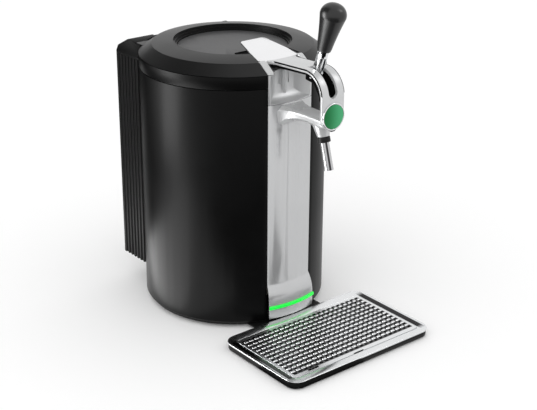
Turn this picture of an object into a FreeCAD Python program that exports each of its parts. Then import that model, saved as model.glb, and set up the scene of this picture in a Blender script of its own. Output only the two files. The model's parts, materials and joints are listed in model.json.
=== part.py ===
import FreeCAD, Part
import math
import os
import Sketcher
from FreeCAD import Placement, Rotation, Vector

# Mini keg beer dispenser, millimetres. +Z is up, the tap looks towards -Y and the floor is z = 0.
# Pieces are drawn about the barrel's axis; each finished piece is then moved back by axis_y,
# which puts the middle of the whole footprint on the origin.

doc = FreeCAD.newDocument("beer_dispenser")
sheet = doc.addObject("Spreadsheet::Sheet", "sizes")

# A size that out() reads is a distance from the barrel's wall, below zero where it lies inside.
SIZES = {
    # clearances
    "seat": 0.3,
    "running": 0.05,
    "shut_gap": 0.7,
    # base
    "foot_height": 3.0,
    "foot_radius": 9.0,
    "foot_circle": -29.0,
    "base_radius": -5.0,
    "base_floor": 8.0,
    "base_spigot": 14.0,
    "base_wall": 3.2,
    "pedestal_radius": 66.0,
    "pedestal_wall": 5.0,
    "tongue_half": 62.0,
    "tongue_front": 27.0,
    "tongue_thick": 2.0,
    # barrel
    "barrel_radius": 133.0,
    "shell_wall": 3.0,
    "shell_bottom": 8.4,
    "shell_edge": 2.4,
    "shell_top": 354.0,
    "rear_window_half": -37.0,
    "rear_window_low": 54.0,
    "rear_window_high": 340.0,
    # front panel and its lit lip
    "panel_half_angle": 16.76,
    "panel_wall": 2.0,
    "panel_top": 330.5,
    "flare_start": 64.0,
    "flare_end": 34.0,
    "lip_radius": 8.2,
    "lip_bottom": 13.0,
    "flare_bend": 59.0,
    "light_height": 30.7,
    "light_thick": 5.0,
    "light_proud": 2.1,
    "light_edge": 0.8,
    # niche behind the tap
    "niche_edge": 3.8,
    "niche_depth": -22.5,
    "niche_back": -29.4,
    "niche_bend": 46.0,
    "niche_cheek": 10.0,
    "niche_scoop": 20.0,
    "niche_lip": 1.2,
    "ridge_half": 3.1,
    "ridge_front": -19.0,
    # collar, keg well and insulation
    "collar_top": 372.1,
    "deck_thick": 2.3,
    "deck_inner": 96.0,
    "collar_spigot": 9.0,
    "hinge_bay_half": 45.0,
    "well_radius": 90.0,
    "well_wall": 1.5,
    "well_floor": 58.0,
    "well_flange": 99.0,
    "jacket_radius": -17.0,
    "jacket_bottom": 40.0,
    "jacket_top": 330.0,
    # cooling unit
    "cooler_z": 180.0,
    "cold_block_half": 22.0,
    "cold_block_back": 101.6,
    "peltier_half": 20.0,
    "peltier_thick": 3.8,
    "sink_half": 40.0,
    "sink_base": 4.0,
    "fin_count": 13,
    "fin_thick": 1.5,
    "fin_depth": 17.6,
    "fan_half": 40.0,
    "fan_thick": 15.0,
    "fan_bore": 37.5,
    "fan_hub": 15.0,
    "fan_hub_depth": 9.0,
    "fan_tip": 36.0,
    "fan_blades": 7,
    "fan_blade_thick": 1.6,
    "fan_blade_chord": 14.0,
    "fan_blade_pitch": 38.0,
    "fan_shaft": 2.5,
    "fan_strut": 4.0,
    # rear housing
    "box_half": -23.0,
    "box_back": 12.5,
    "box_corner": 12.0,
    "box_bottom": 44.0,
    "box_top": 375.2,
    "box_wall": 2.5,
    "box_side_wall": 4.5,
    "top_bevel_width": 21.0,
    "top_bevel_rear": 10.0,
    "top_bevel_height": 12.0,
    "rib_count": 7,
    "rib_pitch": 8.2,
    "rib_groove": 4.4,
    "rib_depth": 2.2,
    "rib_margin": 5.0,
    "cover_half": 62.0,
    "cover_low": 110.0,
    "cover_high": 270.0,
    "cover_slot_count": 9,
    "cover_slot_pitch": 11.0,
    "cover_slot_half": 44.0,
    "cover_slot_height": 5.0,
    "screw_inset": 8.0,
    "screw_head": 3.0,
    "screw_shank": 1.6,
    "screw_length": 10.0,
    # electrics
    "board_low": 90.0,
    "board_high": 200.0,
    "board_front": -35.0,
    "board_back": -7.0,
    "board_thick": 1.6,
    "coil_half": 8.0,
    "coil_reach": 12.4,
    "coil_z": 113.0,
    "can_radius": 6.0,
    "can_reach": 16.4,
    "can_z": 145.0,
    "chip_half": 9.0,
    "chip_reach": 2.4,
    "chip_z": 174.0,
    "inlet_x": 70.0,
    "inlet_z": 66.0,
    "inlet_half": 13.5,
    "inlet_half_height": 10.0,
    "inlet_depth": 17.0,
    "inlet_wall": 3.0,
    "inlet_pin_half": 1.2,
    "inlet_pin_spread": 5.0,
    "switch_half": 10.0,
    "switch_half_height": 13.0,
    "switch_depth": 14.0,
    "switch_wall": 3.0,
    "rocker_pin": 1.2,
    "rocker_inset": 5.0,
    "rocker_half": 7.0,
    "rocker_half_height": 9.5,
    "rocker_radius": 5.5,
    # tap
    "tap_half": 19.0,
    "tap_root_half": 26.0,
    "strap_thick": 4.8,
    "arm_rear_z": 385.6,
    "arm_top_z": 390.0,
    "arm_rear_radius": -22.8,
    "arm_flare_bend": 21.0,
    "arm_flare_start": -9.0,
    "head_y": 47.0,
    "head_z": 355.0,
    "head_radius": 35.0,
    "slot_half": 7.5,
    "slot_rear": 38.0,
    "slot_end_z": 355.6,
    "medallion_z": 331.0,
    "medallion_radius": 18.6,
    "medallion_wall": 1.8,
    "medallion_proud": 1.5,
    "lens_crown": 1.3,
    "lower_arm_half": 13.6,
    "lower_arm_top": 327.3,
    "lower_arm_bottom": 314.5,
    "lower_arm_bevel": 3.4,
    "lower_arm_root_half": 27.0,
    "lower_arm_root_bottom": 297.0,
    "lower_arm_sunk": 4.0,
    "lower_arm_flare": 30.0,
    "bracket_half": 27.0,
    "bracket_front": -5.7,
    "bracket_thick": 3.5,
    "bracket_low": 299.0,
    "bolt_radius": 2.5,
    "bolt_head": 4.6,
    "bolt_spread": 10.0,
    "bolt_z": 318.0,
    "bolt_reach": 13.0,
    # spout
    "spout_lean": 16.0,
    "spout_y": 76.7,
    "spout_z": 254.8,
    "spout_radius": 6.2,
    "spout_wall": 1.0,
    "spout_length": 52.0,
    "spout_socket": 22.0,
    "line_radius": 4.0,
    "line_depth": 12.0,
    "spout_collar_radius": 8.6,
    "spout_collar_start": 38.0,
    "spout_collar_length": 7.6,
    "cone_length": 20.0,
    "cone_low_radius": 8.2,
    "cone_high_radius": 13.0,
    # handle
    "pivot_y": 48.0,
    "pivot_z": 379.0,
    "pivot_pin": 2.5,
    "handle_lean": 18.6,
    "hub_radius": 5.2,
    "hub_half": 7.0,
    "ear_thick": 3.4,
    "liner_strip": 2.4,
    "liner_inset": 0.6,
    "pocket_wall": 1.4,
    "pocket_rear": 38.0,
    "pocket_rear_z": 373.0,
    "pocket_knee_y": 54.5,
    "pocket_knee_z": 370.8,
    "pocket_toe_y": 64.0,
    "pocket_toe_z": 357.5,
    "pocket_toe_run": 2.6,
    "pocket_end_z": 353.0,
    "neck_radius": 4.4,
    "neck_length": 39.2,
    "cheek_thick": 1.7,
    "ferrule_radius": 7.4,
    "ferrule_length": 5.5,
    "grip_length": 65.0,
    "grip_low_radius": 9.6,
    "grip_high_radius": 17.4,
    "grip_bore": 4.0,
    "grip_bend": 420.0,
    "grip_crown": 1.2,
    "grip_dome": 15.0,
    # lid
    "lid_bottom": 372.8,
    "lid_edge_radius": -18.4,
    "lid_edge_z": 385.9,
    "lid_rim_radius": 84.0,
    "lid_rim_z": 390.4,
    "lid_step_radius": 81.2,
    "lid_step_z": 386.4,
    "lid_pan_radius": 78.6,
    "lid_pan_z": 378.6,
    "lid_skin": 2.6,
    "disc_thick": 2.4,
    "disc_crown": 0.8,
    "wing_half": -43.0,
    "wing_back": -22.2,
    "wing_gap": 1.0,
    "rear_block_half": 40.0,
    "lid_rear_block": -17.0,
    "lid_rear_height": 8.0,
    "lid_relief_half": 62.0,
    "lid_relief_depth": 2.0,
    "hinge_y": -5.0,
    "hinge_z": 371.0,
    "hinge_pin": 2.0,
    "knuckle_radius": 4.2,
    "knuckle_inner": 14.0,
    "knuckle_width": 10.0,
    "knuckle_play": 0.6,
    "knuckle_pocket": 6.3,
    "hinge_bay_back": 4.0,
    "trim_width": 10.4,
    "channel_rear": -28.5,
    "bridge_half": 42.0,
    "bridge_rear": -48.4,
    "plate_rear_half": 20.7,
    "plate_front_half": 35.8,
    "plate_rear_y": -89.7,
    "plate_front_y": -30.2,
    "plate_front_radius": -23.8,
    "plate_rear_z": 398.2,
    "plate_front_z": 385.6,
    "plate_thick": 2.6,
    "plate_corner": 4.6,
    "rest_half": 15.0,
    "rest_rear": -73.0,
    "liner_flange": 104.0,
    "liner_low": 362.3,
    "liner_thick": 3.0,
    "plug_radius": 87.0,
    "plug_bottom": 350.0,
    "gasket_inner": 92.5,
    "gasket_outer": 98.5,
    # drip tray
    "tray_half": 127.0,
    "tray_back": 6.2,
    "tray_front": 161.6,
    "tray_corner": 18.0,
    "tray_foot": 1.2,
    "tray_foot_radius": 7.0,
    "tray_ledge_z": 9.6,
    "tray_rim_z": 11.9,
    "tray_inset": 1.0,
    "tray_floor": 1.8,
    "bowl_inset": 17.0,
    "rim_width": 13.5,
    "rim_bead": 2.6,
    "rim_dish": 1.2,
    "rim_corner": 2.0,
    "grille_thick": 1.4,
    "grille_rows": 13,
    "grille_columns": 24,
    "grille_pitch": 9.16,
    "grille_slot_x": 6.2,
    "grille_slot_y": 4.4,
    "grille_back_margin": 7.3,
    "notch_half": 9.0,
    "notch_depth": 2.2,
}


class Size:
    """A length or angle that knows its formula in sheet cells and its value today."""

    def __init__(self, text, value):
        self.text = text
        self.value = value

    def __add__(self, other):
        other = sized(other)
        return Size("(%s + %s)" % (self.text, other.text), self.value + other.value)

    def __sub__(self, other):
        other = sized(other)
        return Size("(%s - %s)" % (self.text, other.text), self.value - other.value)

    def __mul__(self, other):
        other = sized(other)
        return Size("(%s * %s)" % (self.text, other.text), self.value * other.value)

    def __truediv__(self, other):
        other = sized(other)
        return Size("(%s / %s)" % (self.text, other.text), self.value / other.value)

    def __neg__(self):
        return Size("(0 - %s)" % self.text, -self.value)

    __radd__ = __add__

    def __rsub__(self, other):
        return sized(other) - self

    __rmul__ = __mul__


def sized(number):
    if isinstance(number, Size):
        return number
    return Size("(%s)" % repr(float(number)), float(number))


def sine(angle):
    return Size("sin(%s)" % angle.text, math.sin(math.radians(angle.value)))


def cosine(angle):
    return Size("cos(%s)" % angle.text, math.cos(math.radians(angle.value)))


def tangent(angle):
    return sine(angle) / cosine(angle)


def root(number):
    return Size("sqrt(%s)" % number.text, math.sqrt(number.value))


def on_circle(radius, offset):
    """The other coordinate of a point on a circle about the axis."""
    return root(radius * radius - offset * offset)


def fill_sheet():
    for row, (alias, number) in enumerate(SIZES.items(), start=1):
        sheet.set("A%d" % row, alias)
        sheet.set("B%d" % row, str(number))
        sheet.setAlias("B%d" % row, alias)
    doc.recompute()


def size(alias):
    return Size("sizes.%s" % alias, float(SIZES[alias]))


def out(alias):
    """A distance from the axis, kept in the sheet as a distance from the barrel's wall."""
    return size("barrel_radius") + size(alias)


def count(alias):
    return int(SIZES[alias])


# ---- drawing helpers ----

def bind(thing, **properties):
    for name, amount in properties.items():
        thing.setExpression(name.replace("__", "."), sized(amount).text)


def move(thing, x=0, y=0, z=0, axis=None, angle=0):
    if axis is not None:
        thing.Placement = Placement(Vector(), Rotation(axis, sized(angle).value))
    for path, amount in (("x", x), ("y", y), ("z", z)):
        if sized(amount).text != "(0.0)":
            thing.setExpression("Placement.Base." + path, sized(amount).text)
    if isinstance(angle, Size):
        thing.setExpression("Placement.Rotation.Angle", angle.text)
    return thing


def box(name, x, y, z):
    """A box between two corners: x, y and z are (low, high) pairs."""
    block = doc.addObject("Part::Box", name)
    bind(block, Length=sized(x[1]) - x[0], Width=sized(y[1]) - y[0], Height=sized(z[1]) - z[0])
    return move(block, x[0], y[0], z[0])


def rod(name, radius, low, high, x=0, y=0, z=0, along="Z"):
    """A cylinder from low to high along one axis; the other two numbers place it."""
    cylinder = doc.addObject("Part::Cylinder", name)
    bind(cylinder, Radius=radius, Height=sized(high) - low)
    if along == "X":
        return move(cylinder, low, y, z, Vector(0, 1, 0), 90)
    if along == "Y":
        return move(cylinder, x, low, z, Vector(1, 0, 0), -90)
    return move(cylinder, x, y, low)


def fuse(name, *parts):
    result = doc.addObject("Part::MultiFuse", name)
    result.Shapes = list(parts)
    result.Refine = True
    return result


def cut(name, base, *tools):
    result = doc.addObject("Part::Cut", name)
    result.Base = base
    result.Tool = tools[0] if len(tools) == 1 else fuse(name + "_tools", *tools)
    result.Refine = True
    return result


def common(name, *parts):
    result = doc.addObject("Part::MultiCommon", name)
    result.Shapes = list(parts)
    result.Refine = True
    return result


def group(name, *parts):
    """Separate solids that share one node."""
    result = doc.addObject("Part::Compound", name)
    result.Links = list(parts)
    return result


def pin_point(sketch, piece, point, x, y):
    for kind, amount, line in (("DistanceX", sized(x), -2), ("DistanceY", sized(y), -1)):
        if amount.text == "(0.0)":
            sketch.addConstraint(Sketcher.Constraint("PointOnObject", piece, point, line))
        else:
            rule = Sketcher.Constraint(kind, -1, 1, piece, point, amount.value)
            number = sketch.addConstraint(rule)
            sketch.setExpression("Constraints[%d]" % number, amount.text)


def arc_piece(start, end, radius):
    """An arc of the given radius from start to end; a negative radius turns clockwise."""
    chord = end - start
    middle = (start + end) * 0.5
    rise = math.sqrt(max(radius * radius - chord.Length * chord.Length / 4, 0))
    side = Vector(-chord.y, chord.x, 0).normalize() * math.copysign(rise, radius)
    centre = middle + side
    first, last = (start, end) if radius > 0 else (end, start)
    circle = Part.Circle(centre, Vector(0, 0, 1), abs(radius))
    angles = [math.atan2(p.y - centre.y, p.x - centre.x) for p in (first, last)]
    return Part.ArcOfCircle(circle, angles[0], angles[1])


def draw(sketch, corners):
    """A closed outline. A corner is (x, y), or (x, y, radius, turn) when an arc leads to it."""
    spots = [Vector(sized(c[0]).value, sized(c[1]).value, 0) for c in corners]
    ends = []
    for index, corner in enumerate(corners):
        start, end = spots[index - 1], spots[index]
        if len(corner) == 2:
            piece = sketch.addGeometry(Part.LineSegment(start, end))
            ends.append((piece, 1, 2))
        else:
            radius, turn = sized(corner[2]), corner[3]
            piece = sketch.addGeometry(arc_piece(start, end, radius.value * turn))
            ends.append((piece, 1, 2) if turn > 0 else (piece, 2, 1))
    for index, corner in enumerate(corners):
        piece, tail, head = ends[index]
        following = ends[(index + 1) % len(ends)]
        sketch.addConstraint(Sketcher.Constraint("Coincident", piece, head, following[0], following[1]))
        pin_point(sketch, piece, head, corner[0], corner[1])
        if len(corner) > 2:
            radius = sized(corner[2])
            number = sketch.addConstraint(Sketcher.Constraint("Radius", piece, radius.value))
            sketch.setExpression("Constraints[%d]" % number, radius.text)


def sketch_on(body, plane, offset=0):
    sketch = body.newObject("Sketcher::SketchObject", body.Name + "_outline")
    face = [f for f in body.Origin.OriginFeatures if f.Role == plane + "_Plane"][0]
    sketch.AttachmentSupport = [(face, "")]
    sketch.MapMode = "FlatFace"
    if sized(offset).text != "(0.0)":
        sketch.setExpression("AttachmentOffset.Base.z", sized(offset).text)
    return sketch


def pad(name, plane, corners, low, high):
    """A prism: outline (x, y) along Z, (y, z) along X, or (x, z) along Y, from low to high."""
    body = doc.addObject("PartDesign::Body", name)
    offset = -sized(high) if plane == "XZ" else sized(low)
    sketch = sketch_on(body, plane, offset)
    draw(sketch, corners)
    feature = body.newObject("PartDesign::Pad", name + "_pad")
    feature.Profile = sketch
    bind(feature, Length=sized(high) - low)
    return body


def turned(name, corners):
    """A body of revolution about Z from its outline (radius, height)."""
    body = doc.addObject("PartDesign::Body", name)
    sketch = sketch_on(body, "XZ")
    draw(sketch, corners)
    feature = body.newObject("PartDesign::Revolution", name + "_turn")
    feature.Profile = sketch
    feature.ReferenceAxis = (sketch, ["V_Axis"])
    feature.Angle = 360
    return body


def rounded(name, x, y, z, corner):
    """A box with four round upright corners."""
    x0, x1, y0, y1 = sized(x[0]), sized(x[1]), sized(y[0]), sized(y[1])
    corners = [
        (x1 - corner, y0), (x1, y0 + corner, corner, 1),
        (x1, y1 - corner), (x1 - corner, y1, corner, 1),
        (x0 + corner, y1), (x0, y1 - corner, corner, 1),
        (x0, y0 + corner), (x0 + corner, y0, corner, 1),
    ]
    return pad(name, "XY", corners, z[0], z[1])


nodes = []


def node(thing, label, x=0, y=0, z=0, axis=None, angle=0):
    """Marks a finished piece and moves it back from the barrel's axis to the frame."""
    thing.Label = label
    move(thing, x, axis_y + y, z, axis, angle)
    nodes.append(thing)
    return thing


def wedge(name, shrink, low, high):
    """The sector of the barrel that the front panel fills, smaller by shrink on each side."""
    half = size("panel_half_angle")
    reach = size("barrel_radius") * 2
    tip = -(sized(shrink) / sine(half))
    side = tangent(half) * reach
    return pad(name, "XY", [(-side, tip - reach), (side, tip - reach), (0, tip)], low, high)


fill_sheet()
seat = size("seat")
running = size("running")
barrel = size("barrel_radius")
shell_inner = barrel - size("shell_wall")
channel = barrel * sine(size("panel_half_angle"))
axis_y = (out("tray_front") - out("box_back")) / 2
beyond = barrel * 2
tall = 600


# ---- base ----

def base_plate():
    foot = size("foot_height")
    floor = size("base_floor")
    step = size("shell_bottom") - seat
    spigot = shell_inner - seat
    top = step + size("base_spigot")
    dish = turned("base_dish", [
        (0, foot), (out("base_radius"), foot), (out("base_radius"), step), (spigot, step),
        (spigot, top), (spigot - size("base_wall"), top), (spigot - size("base_wall"), foot + floor),
        (0, foot + floor),
    ])
    outer = size("pedestal_radius")
    post = rod("pedestal_post", outer, foot, size("jacket_bottom"))
    hollow = rod("pedestal_hollow", outer - size("pedestal_wall"), foot + floor, size("jacket_bottom"))
    pedestal = cut("pedestal", post, hollow)
    tongue = box("tongue", (-size("tongue_half"), size("tongue_half")),
                 (-out("tongue_front"), -size("pedestal_radius")), (foot, foot + size("tongue_thick")))
    node(fuse("base_plate", dish, pedestal, tongue), "base_plate")
    spread = out("foot_circle") / math.sqrt(2)
    feet = []
    for number, (side, end) in enumerate(((-1, -1), (1, -1), (1, 1), (-1, 1))):
        feet.append(rod("base_foot_%d" % number, size("foot_radius"), 0, foot, spread * side, spread * end))
    node(group("base_feet", *feet), "base_feet")


# ---- barrel and front panel ----

def barrel_shell():
    low, top, edge = size("shell_bottom"), size("shell_top"), size("shell_edge")
    tube = turned("shell_tube", [
        (shell_inner, low), (barrel - edge, low), (barrel, low + edge, edge, 1),
        (barrel, top), (shell_inner, top),
    ])
    front = wedge("shell_front_gap", 0, 0, tall)
    window = box("shell_rear_window", (-out("rear_window_half"), out("rear_window_half")),
                 (0, beyond), (size("rear_window_low"), size("rear_window_high")))
    node(cut("barrel_shell", tube, front, window), "barrel_shell")


def front_panel():
    wall, lip, bend = size("panel_wall"), out("lip_radius"), size("flare_bend")
    start, end = size("flare_start"), size("flare_end")
    top, bottom = size("panel_top"), size("lip_bottom")
    ring = turned("panel_ring", [
        (barrel, top), (barrel - wall, top), (barrel - wall, start), (lip - wall, end, bend + wall, -1),
        (lip - wall, bottom), (lip, bottom), (lip, end), (barrel, start, bend, 1),
    ])
    sector = wedge("panel_sector", seat, 0, tall)
    plate = common("panel_plate", ring, sector)
    holes = bolt_rods("panel_bolt_hole", size("bolt_radius") + seat, -barrel - 5, -barrel + 10)
    node(cut("front_panel", plate, *holes), "front_panel")


def bolt_rods(name, radius, low, high):
    """One rod along Y for each of the two bolts that hold the tap."""
    return [rod("%s_%d" % (name, number), radius, low, high, size("bolt_spread") * side, 0,
                size("bolt_z"), "Y")
            for number, side in enumerate((-1, 1))]


def light_strip():
    inner = out("lip_radius") + seat
    outer = inner + size("light_proud")
    low = size("light_height") - size("light_thick") / 2
    high = low + size("light_thick")
    edge = size("light_edge")
    ring = turned("light_ring", [
        (inner, low), (outer - edge, low), (outer, low + edge), (outer, high - edge), (outer - edge, high),
        (inner, high),
    ])
    node(common("light_strip", ring, wedge("light_sector", seat, 0, tall)), "light_strip")


def tap_column():
    """The niche above the panel: two hollow cheeks with an upright ridge between them."""
    edge, ridge, bend = channel - size("niche_edge"), size("ridge_half"), size("niche_bend")
    corner = channel - seat * 1.5
    corner_y = -on_circle(barrel, corner)
    edge_y = -on_circle(barrel, edge)
    deep, back = -out("niche_depth"), -out("niche_back")
    cheek = size("niche_cheek")
    low = size("panel_top") + seat
    walls = pad("niche_walls", "XY", [
        (corner, corner_y), (edge, corner_y + cheek), (edge - cheek, back), (-edge + cheek, back),
        (-edge, corner_y + cheek), (-corner, corner_y), (-edge, edge_y),
        (-ridge, deep, bend, -1), (-ridge, -out("ridge_front")),
        (ridge, -out("ridge_front"), ridge * 1.02, 1),
        (ridge, deep), (edge, edge_y, bend, -1),
    ], low, size("collar_top"))
    scoop, lip = size("niche_scoop"), size("niche_lip")
    foot = pad("niche_foot", "XY", [
        (-edge, edge_y), (edge, edge_y, barrel, 1), (edge - cheek, back), (-edge + cheek, back),
    ], low, low + lip + scoop)
    hollow = rod("niche_scoop_cut", scoop, -corner, corner, 0, -barrel + lip, low + lip + scoop, "X")
    front = box("niche_front_cut", (-corner, corner), (-beyond, -barrel + lip), (low + lip, tall))
    node(fuse("tap_column", walls, cut("niche_floor", foot, hollow, front)), "tap_column")


# ---- collar, keg well, insulation ----

def collar_ring():
    low = size("shell_top") + size("shut_gap")
    top = size("collar_top")
    deck = low + size("deck_thick")
    spigot = shell_inner - seat
    ring = turned("collar_body", [
        (barrel, low), (barrel, top), (shell_inner, top), (shell_inner, deck), (size("deck_inner"), deck),
        (size("deck_inner"), low), (spigot - 3, low), (spigot - 3, low - size("collar_spigot")),
        (spigot, low - size("collar_spigot")), (spigot, low),
    ])
    front = wedge("collar_front_gap", 0, 0, tall)
    bay = size("hinge_bay_half")
    hinge_bay = box("collar_hinge_bay", (-bay, bay), (shell_inner - 20, beyond), (deck, tall))
    node(cut("collar_ring", ring, front, hinge_bay), "collar_ring")


def keg_well():
    inner, wall, floor = size("well_radius"), size("well_wall"), size("well_floor")
    rest = size("shell_top") + size("shut_gap") + size("deck_thick")
    cup = turned("keg_well", [
        (0, floor), (inner + wall, floor), (inner + wall, rest), (size("well_flange"), rest),
        (size("well_flange"), rest + wall), (inner, rest + wall), (inner, floor + wall), (0, floor + wall),
    ])
    node(cup, "keg_well")


def insulation_jacket():
    outer, inner = out("jacket_radius"), size("well_radius") + size("well_wall") + seat
    low, top = size("jacket_bottom"), size("jacket_top")
    floor = size("well_floor") - seat
    cup = turned("jacket_cup", [(0, low), (outer, low), (outer, top), (inner, top), (inner, floor),
                                (0, floor)])
    z = size("cooler_z")
    half, sink = size("cold_block_half") + seat, size("sink_half") + seat
    cold = box("jacket_cold_port", (-half, half), (0, beyond), (z - half, z + half))
    back = size("cold_block_back") - seat
    hot = box("jacket_sink_bay", (-sink, sink), (back, beyond), (z - sink, z + sink))
    node(cut("insulation_jacket", cup, cold, hot), "insulation_jacket")


# ---- cooling unit ----

def cooling_unit():
    z, half, back = size("cooler_z"), size("cold_block_half"), size("cold_block_back")
    block = box("cold_block_box", (-half, half), (back - 22, back), (z - half, z + half))
    saddle = rod("cold_block_saddle", size("well_radius") + size("well_wall") + seat, 0, tall)
    node(cut("cold_block", block, saddle), "cold_block")
    half = size("peltier_half")
    front = back
    back = front + size("peltier_thick")
    module = pad("peltier_module", "XZ", [
        (-half, z - half), (half, z - half), (half, z + half), (-half, z + half),
    ], front, back)
    node(module, "peltier_module")
    heat_sink(back)


def heat_sink(front):
    """A base plate with upright fins, made as a pad, one fin and its row."""
    half, base, z = size("sink_half"), size("sink_base"), size("cooler_z")
    body = doc.addObject("PartDesign::Body", "heat_sink")
    plate_sketch = sketch_on(body, "XY", z - half)
    draw(plate_sketch, [(-half, front), (half, front), (half, front + base), (-half, front + base)])
    plate = body.newObject("PartDesign::Pad", "sink_plate")
    plate.Profile = plate_sketch
    bind(plate, Length=half * 2)
    fin_sketch = sketch_on(body, "XY", z - half)
    fin, tip = size("fin_thick"), front + base + size("fin_depth")
    draw(fin_sketch, [(-half, front + base), (-half + fin, front + base), (-half + fin, tip), (-half, tip)])
    blade = body.newObject("PartDesign::Pad", "sink_fin")
    blade.Profile = fin_sketch
    bind(blade, Length=half * 2)
    row = body.newObject("PartDesign::LinearPattern", "sink_fins")
    row.Originals = [blade]
    row.Direction = (plate_sketch, ["H_Axis"])
    row.Occurrences = count("fin_count")
    row.setExpression("Occurrences", "sizes.fin_count")
    bind(row, Length=half * 2 - fin)
    body.Tip = row
    node(body, "heat_sink")


def fan():
    half, z = size("fan_half"), size("cooler_z")
    back = out("box_back") - size("box_wall") - seat
    front = back - size("fan_thick")
    block = box("fan_block", (-half, half), (front, back), (z - half, z + half))
    bore = rod("fan_bore_cut", size("fan_bore"), front, back, 0, 0, z, "Y")
    ring = cut("fan_ring", block, bore)
    strut = size("fan_strut") / 2
    upright = box("fan_strut_upright", (-strut, strut), (back - 2.5, back), (z - half, z + half))
    level = box("fan_strut_level", (-half, half), (back - 2.5, back), (z - strut, z + strut))
    disc = rod("fan_motor_disc", size("fan_hub"), back - 2.5, back, 0, 0, z, "Y")
    hub_back = back - 2.5 - seat
    hub_front = hub_back - size("fan_hub_depth")
    shaft = rod("fan_shaft_pin", size("fan_shaft"), hub_front, back, 0, 0, z, "Y")
    node(fuse("fan_frame", ring, upright, level, disc, shaft), "fan_frame")

    hub = rod("rotor_hub", size("fan_hub"), hub_front, hub_back, 0, 0, 0, "Y")
    chord, thick, pitch = size("fan_blade_chord"), size("fan_blade_thick"), size("fan_blade_pitch")
    middle = (hub_front + hub_back) / 2
    depth = size("fan_hub_depth")
    blades = []
    number = count("fan_blades")
    for index in range(number):
        slab = doc.addObject("Part::Box", "rotor_blade_%d" % index)
        bind(slab, Length=chord, Width=thick, Height=size("fan_tip") * 1.1)
        lean = Rotation(Vector(0, 0, 1), pitch.value)
        place = Rotation(Vector(0, 1, 0), 360.0 * index / number)
        shift = lean.multVec(Vector(-chord.value / 2, -thick.value / 2, 0))
        slab.Placement = Placement(place.multVec(shift) + Vector(0, middle.value, 0), place * lean)
        blades.append(slab)
    envelope = rod("rotor_envelope", size("fan_tip"), middle - depth / 2, middle + depth / 2, 0, 0, 0, "Y")
    vanes = common("rotor_vanes", fuse("rotor_slabs", *blades), envelope)
    solid = fuse("rotor_solid", hub, vanes)
    axle = rod("rotor_bore", size("fan_shaft") + running, hub_front, hub_back, 0, 0, 0, "Y")
    node(cut("fan_rotor", solid, axle), "fan_rotor", z=z)


# ---- rear housing ----

def box_prism(name, inset, side_inset, low, high):
    """The plan of the rear housing, drawn in by inset at the back and side_inset at the sides."""
    half, back, corner = out("box_half") - side_inset, out("box_back") - inset, size("box_corner")
    return pad(name, "XY", [
        (half, 40), (half, back - corner), (half - corner, back), (-half + corner, back),
        (-half, back - corner), (-half, 40),
    ], low, high)


def housing_form(name, inset, side_inset, low, high):
    """The housing's outer or inner form, with a bevel down each side and along the back of its top."""
    half, back = out("box_half") - side_inset, out("box_back") - inset
    shoulder = high - size("top_bevel_height")
    bevel, rear_bevel = size("top_bevel_width"), size("top_bevel_rear")
    sides = pad(name + "_sides", "XZ", [
        (half, low), (half, shoulder), (half - bevel, high), (-half + bevel, high), (-half, shoulder),
        (-half, low),
    ], 0, back * 2)
    rear = pad(name + "_rear", "YZ", [
        (0, low), (back, low), (back, shoulder), (back - rear_bevel, high), (0, high),
    ], -half * 2, half * 2)
    return common(name, box_prism(name + "_plan", inset, side_inset, low, high), sides, rear)


def rear_housing():
    low, top = size("box_bottom"), size("box_top")
    wall, side = size("box_wall"), size("box_side_wall")
    outer = housing_form("housing_outer", 0, 0, low, top)
    inner = housing_form("housing_hollow", wall, side, low + wall, top - wall)
    barrel_cut = rod("housing_barrel_cut", barrel + 0.4, 0, size("lid_bottom"))
    lid_cut = rod("housing_lid_cut", barrel + size("wing_gap"), size("collar_top") - 6, tall)
    gap = size("wing_gap")
    wing_cut = box("housing_wing_cut", (-out("wing_half") - gap, out("wing_half") + gap),
                   (0, out("wing_back") + gap), (size("lid_bottom") - 1.5, tall))
    bay = size("hinge_bay_half")
    hinge_bay = box("housing_hinge_bay", (-bay, bay), (0, out("hinge_bay_back")),
                    (size("collar_top") - 6, tall))
    cover = size("cover_half")
    port = box("housing_vent_port", (-cover, cover), (out("box_back") - wall - 1, beyond),
               (size("cover_low"), size("cover_high")))
    inlet = box("housing_inlet_port",
                (-size("inlet_x") - size("inlet_half"), -size("inlet_x") + size("inlet_half")),
                (out("box_back") - wall - 1, beyond),
                (size("inlet_z") - size("inlet_half_height"), size("inlet_z") + size("inlet_half_height")))
    switch = box("housing_switch_port",
                 (size("inlet_x") - size("switch_half"), size("inlet_x") + size("switch_half")),
                 (out("box_back") - wall - 1, beyond),
                 (size("inlet_z") - size("switch_half_height"),
                  size("inlet_z") + size("switch_half_height")))
    cuts = [inner, barrel_cut, lid_cut, hinge_bay, wing_cut, port, inlet, switch] + rib_grooves()
    shell = cut("housing_shell", outer, *cuts)
    knuckles = [hinge_arm("housing_knuckle_%d" % number, x)
                for number, x in enumerate(housing_knuckle_spans())]
    bore = rod("housing_hinge_bore", size("hinge_pin") + running, -60, 60, 0, out("hinge_y"),
               size("hinge_z"), "X")
    node(cut("rear_housing", fuse("housing_with_knuckles", shell, *knuckles), bore), "rear_housing")
    pin_half = size("knuckle_inner") + size("knuckle_width") * 2 + size("knuckle_play")
    pin = rod("hinge_pin", size("hinge_pin"), -pin_half, pin_half, 0, out("hinge_y"), size("hinge_z"), "X")
    node_pin(pin, "hinge_pin", -pin_half, out("hinge_y"), size("hinge_z"))


def node_pin(pin, label, x, y, z):
    """A pin along X keeps its own place, moved back with the rest."""
    pin.Label = label
    move(pin, x, axis_y + y, z, Vector(0, 1, 0), 90)
    nodes.append(pin)


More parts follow.
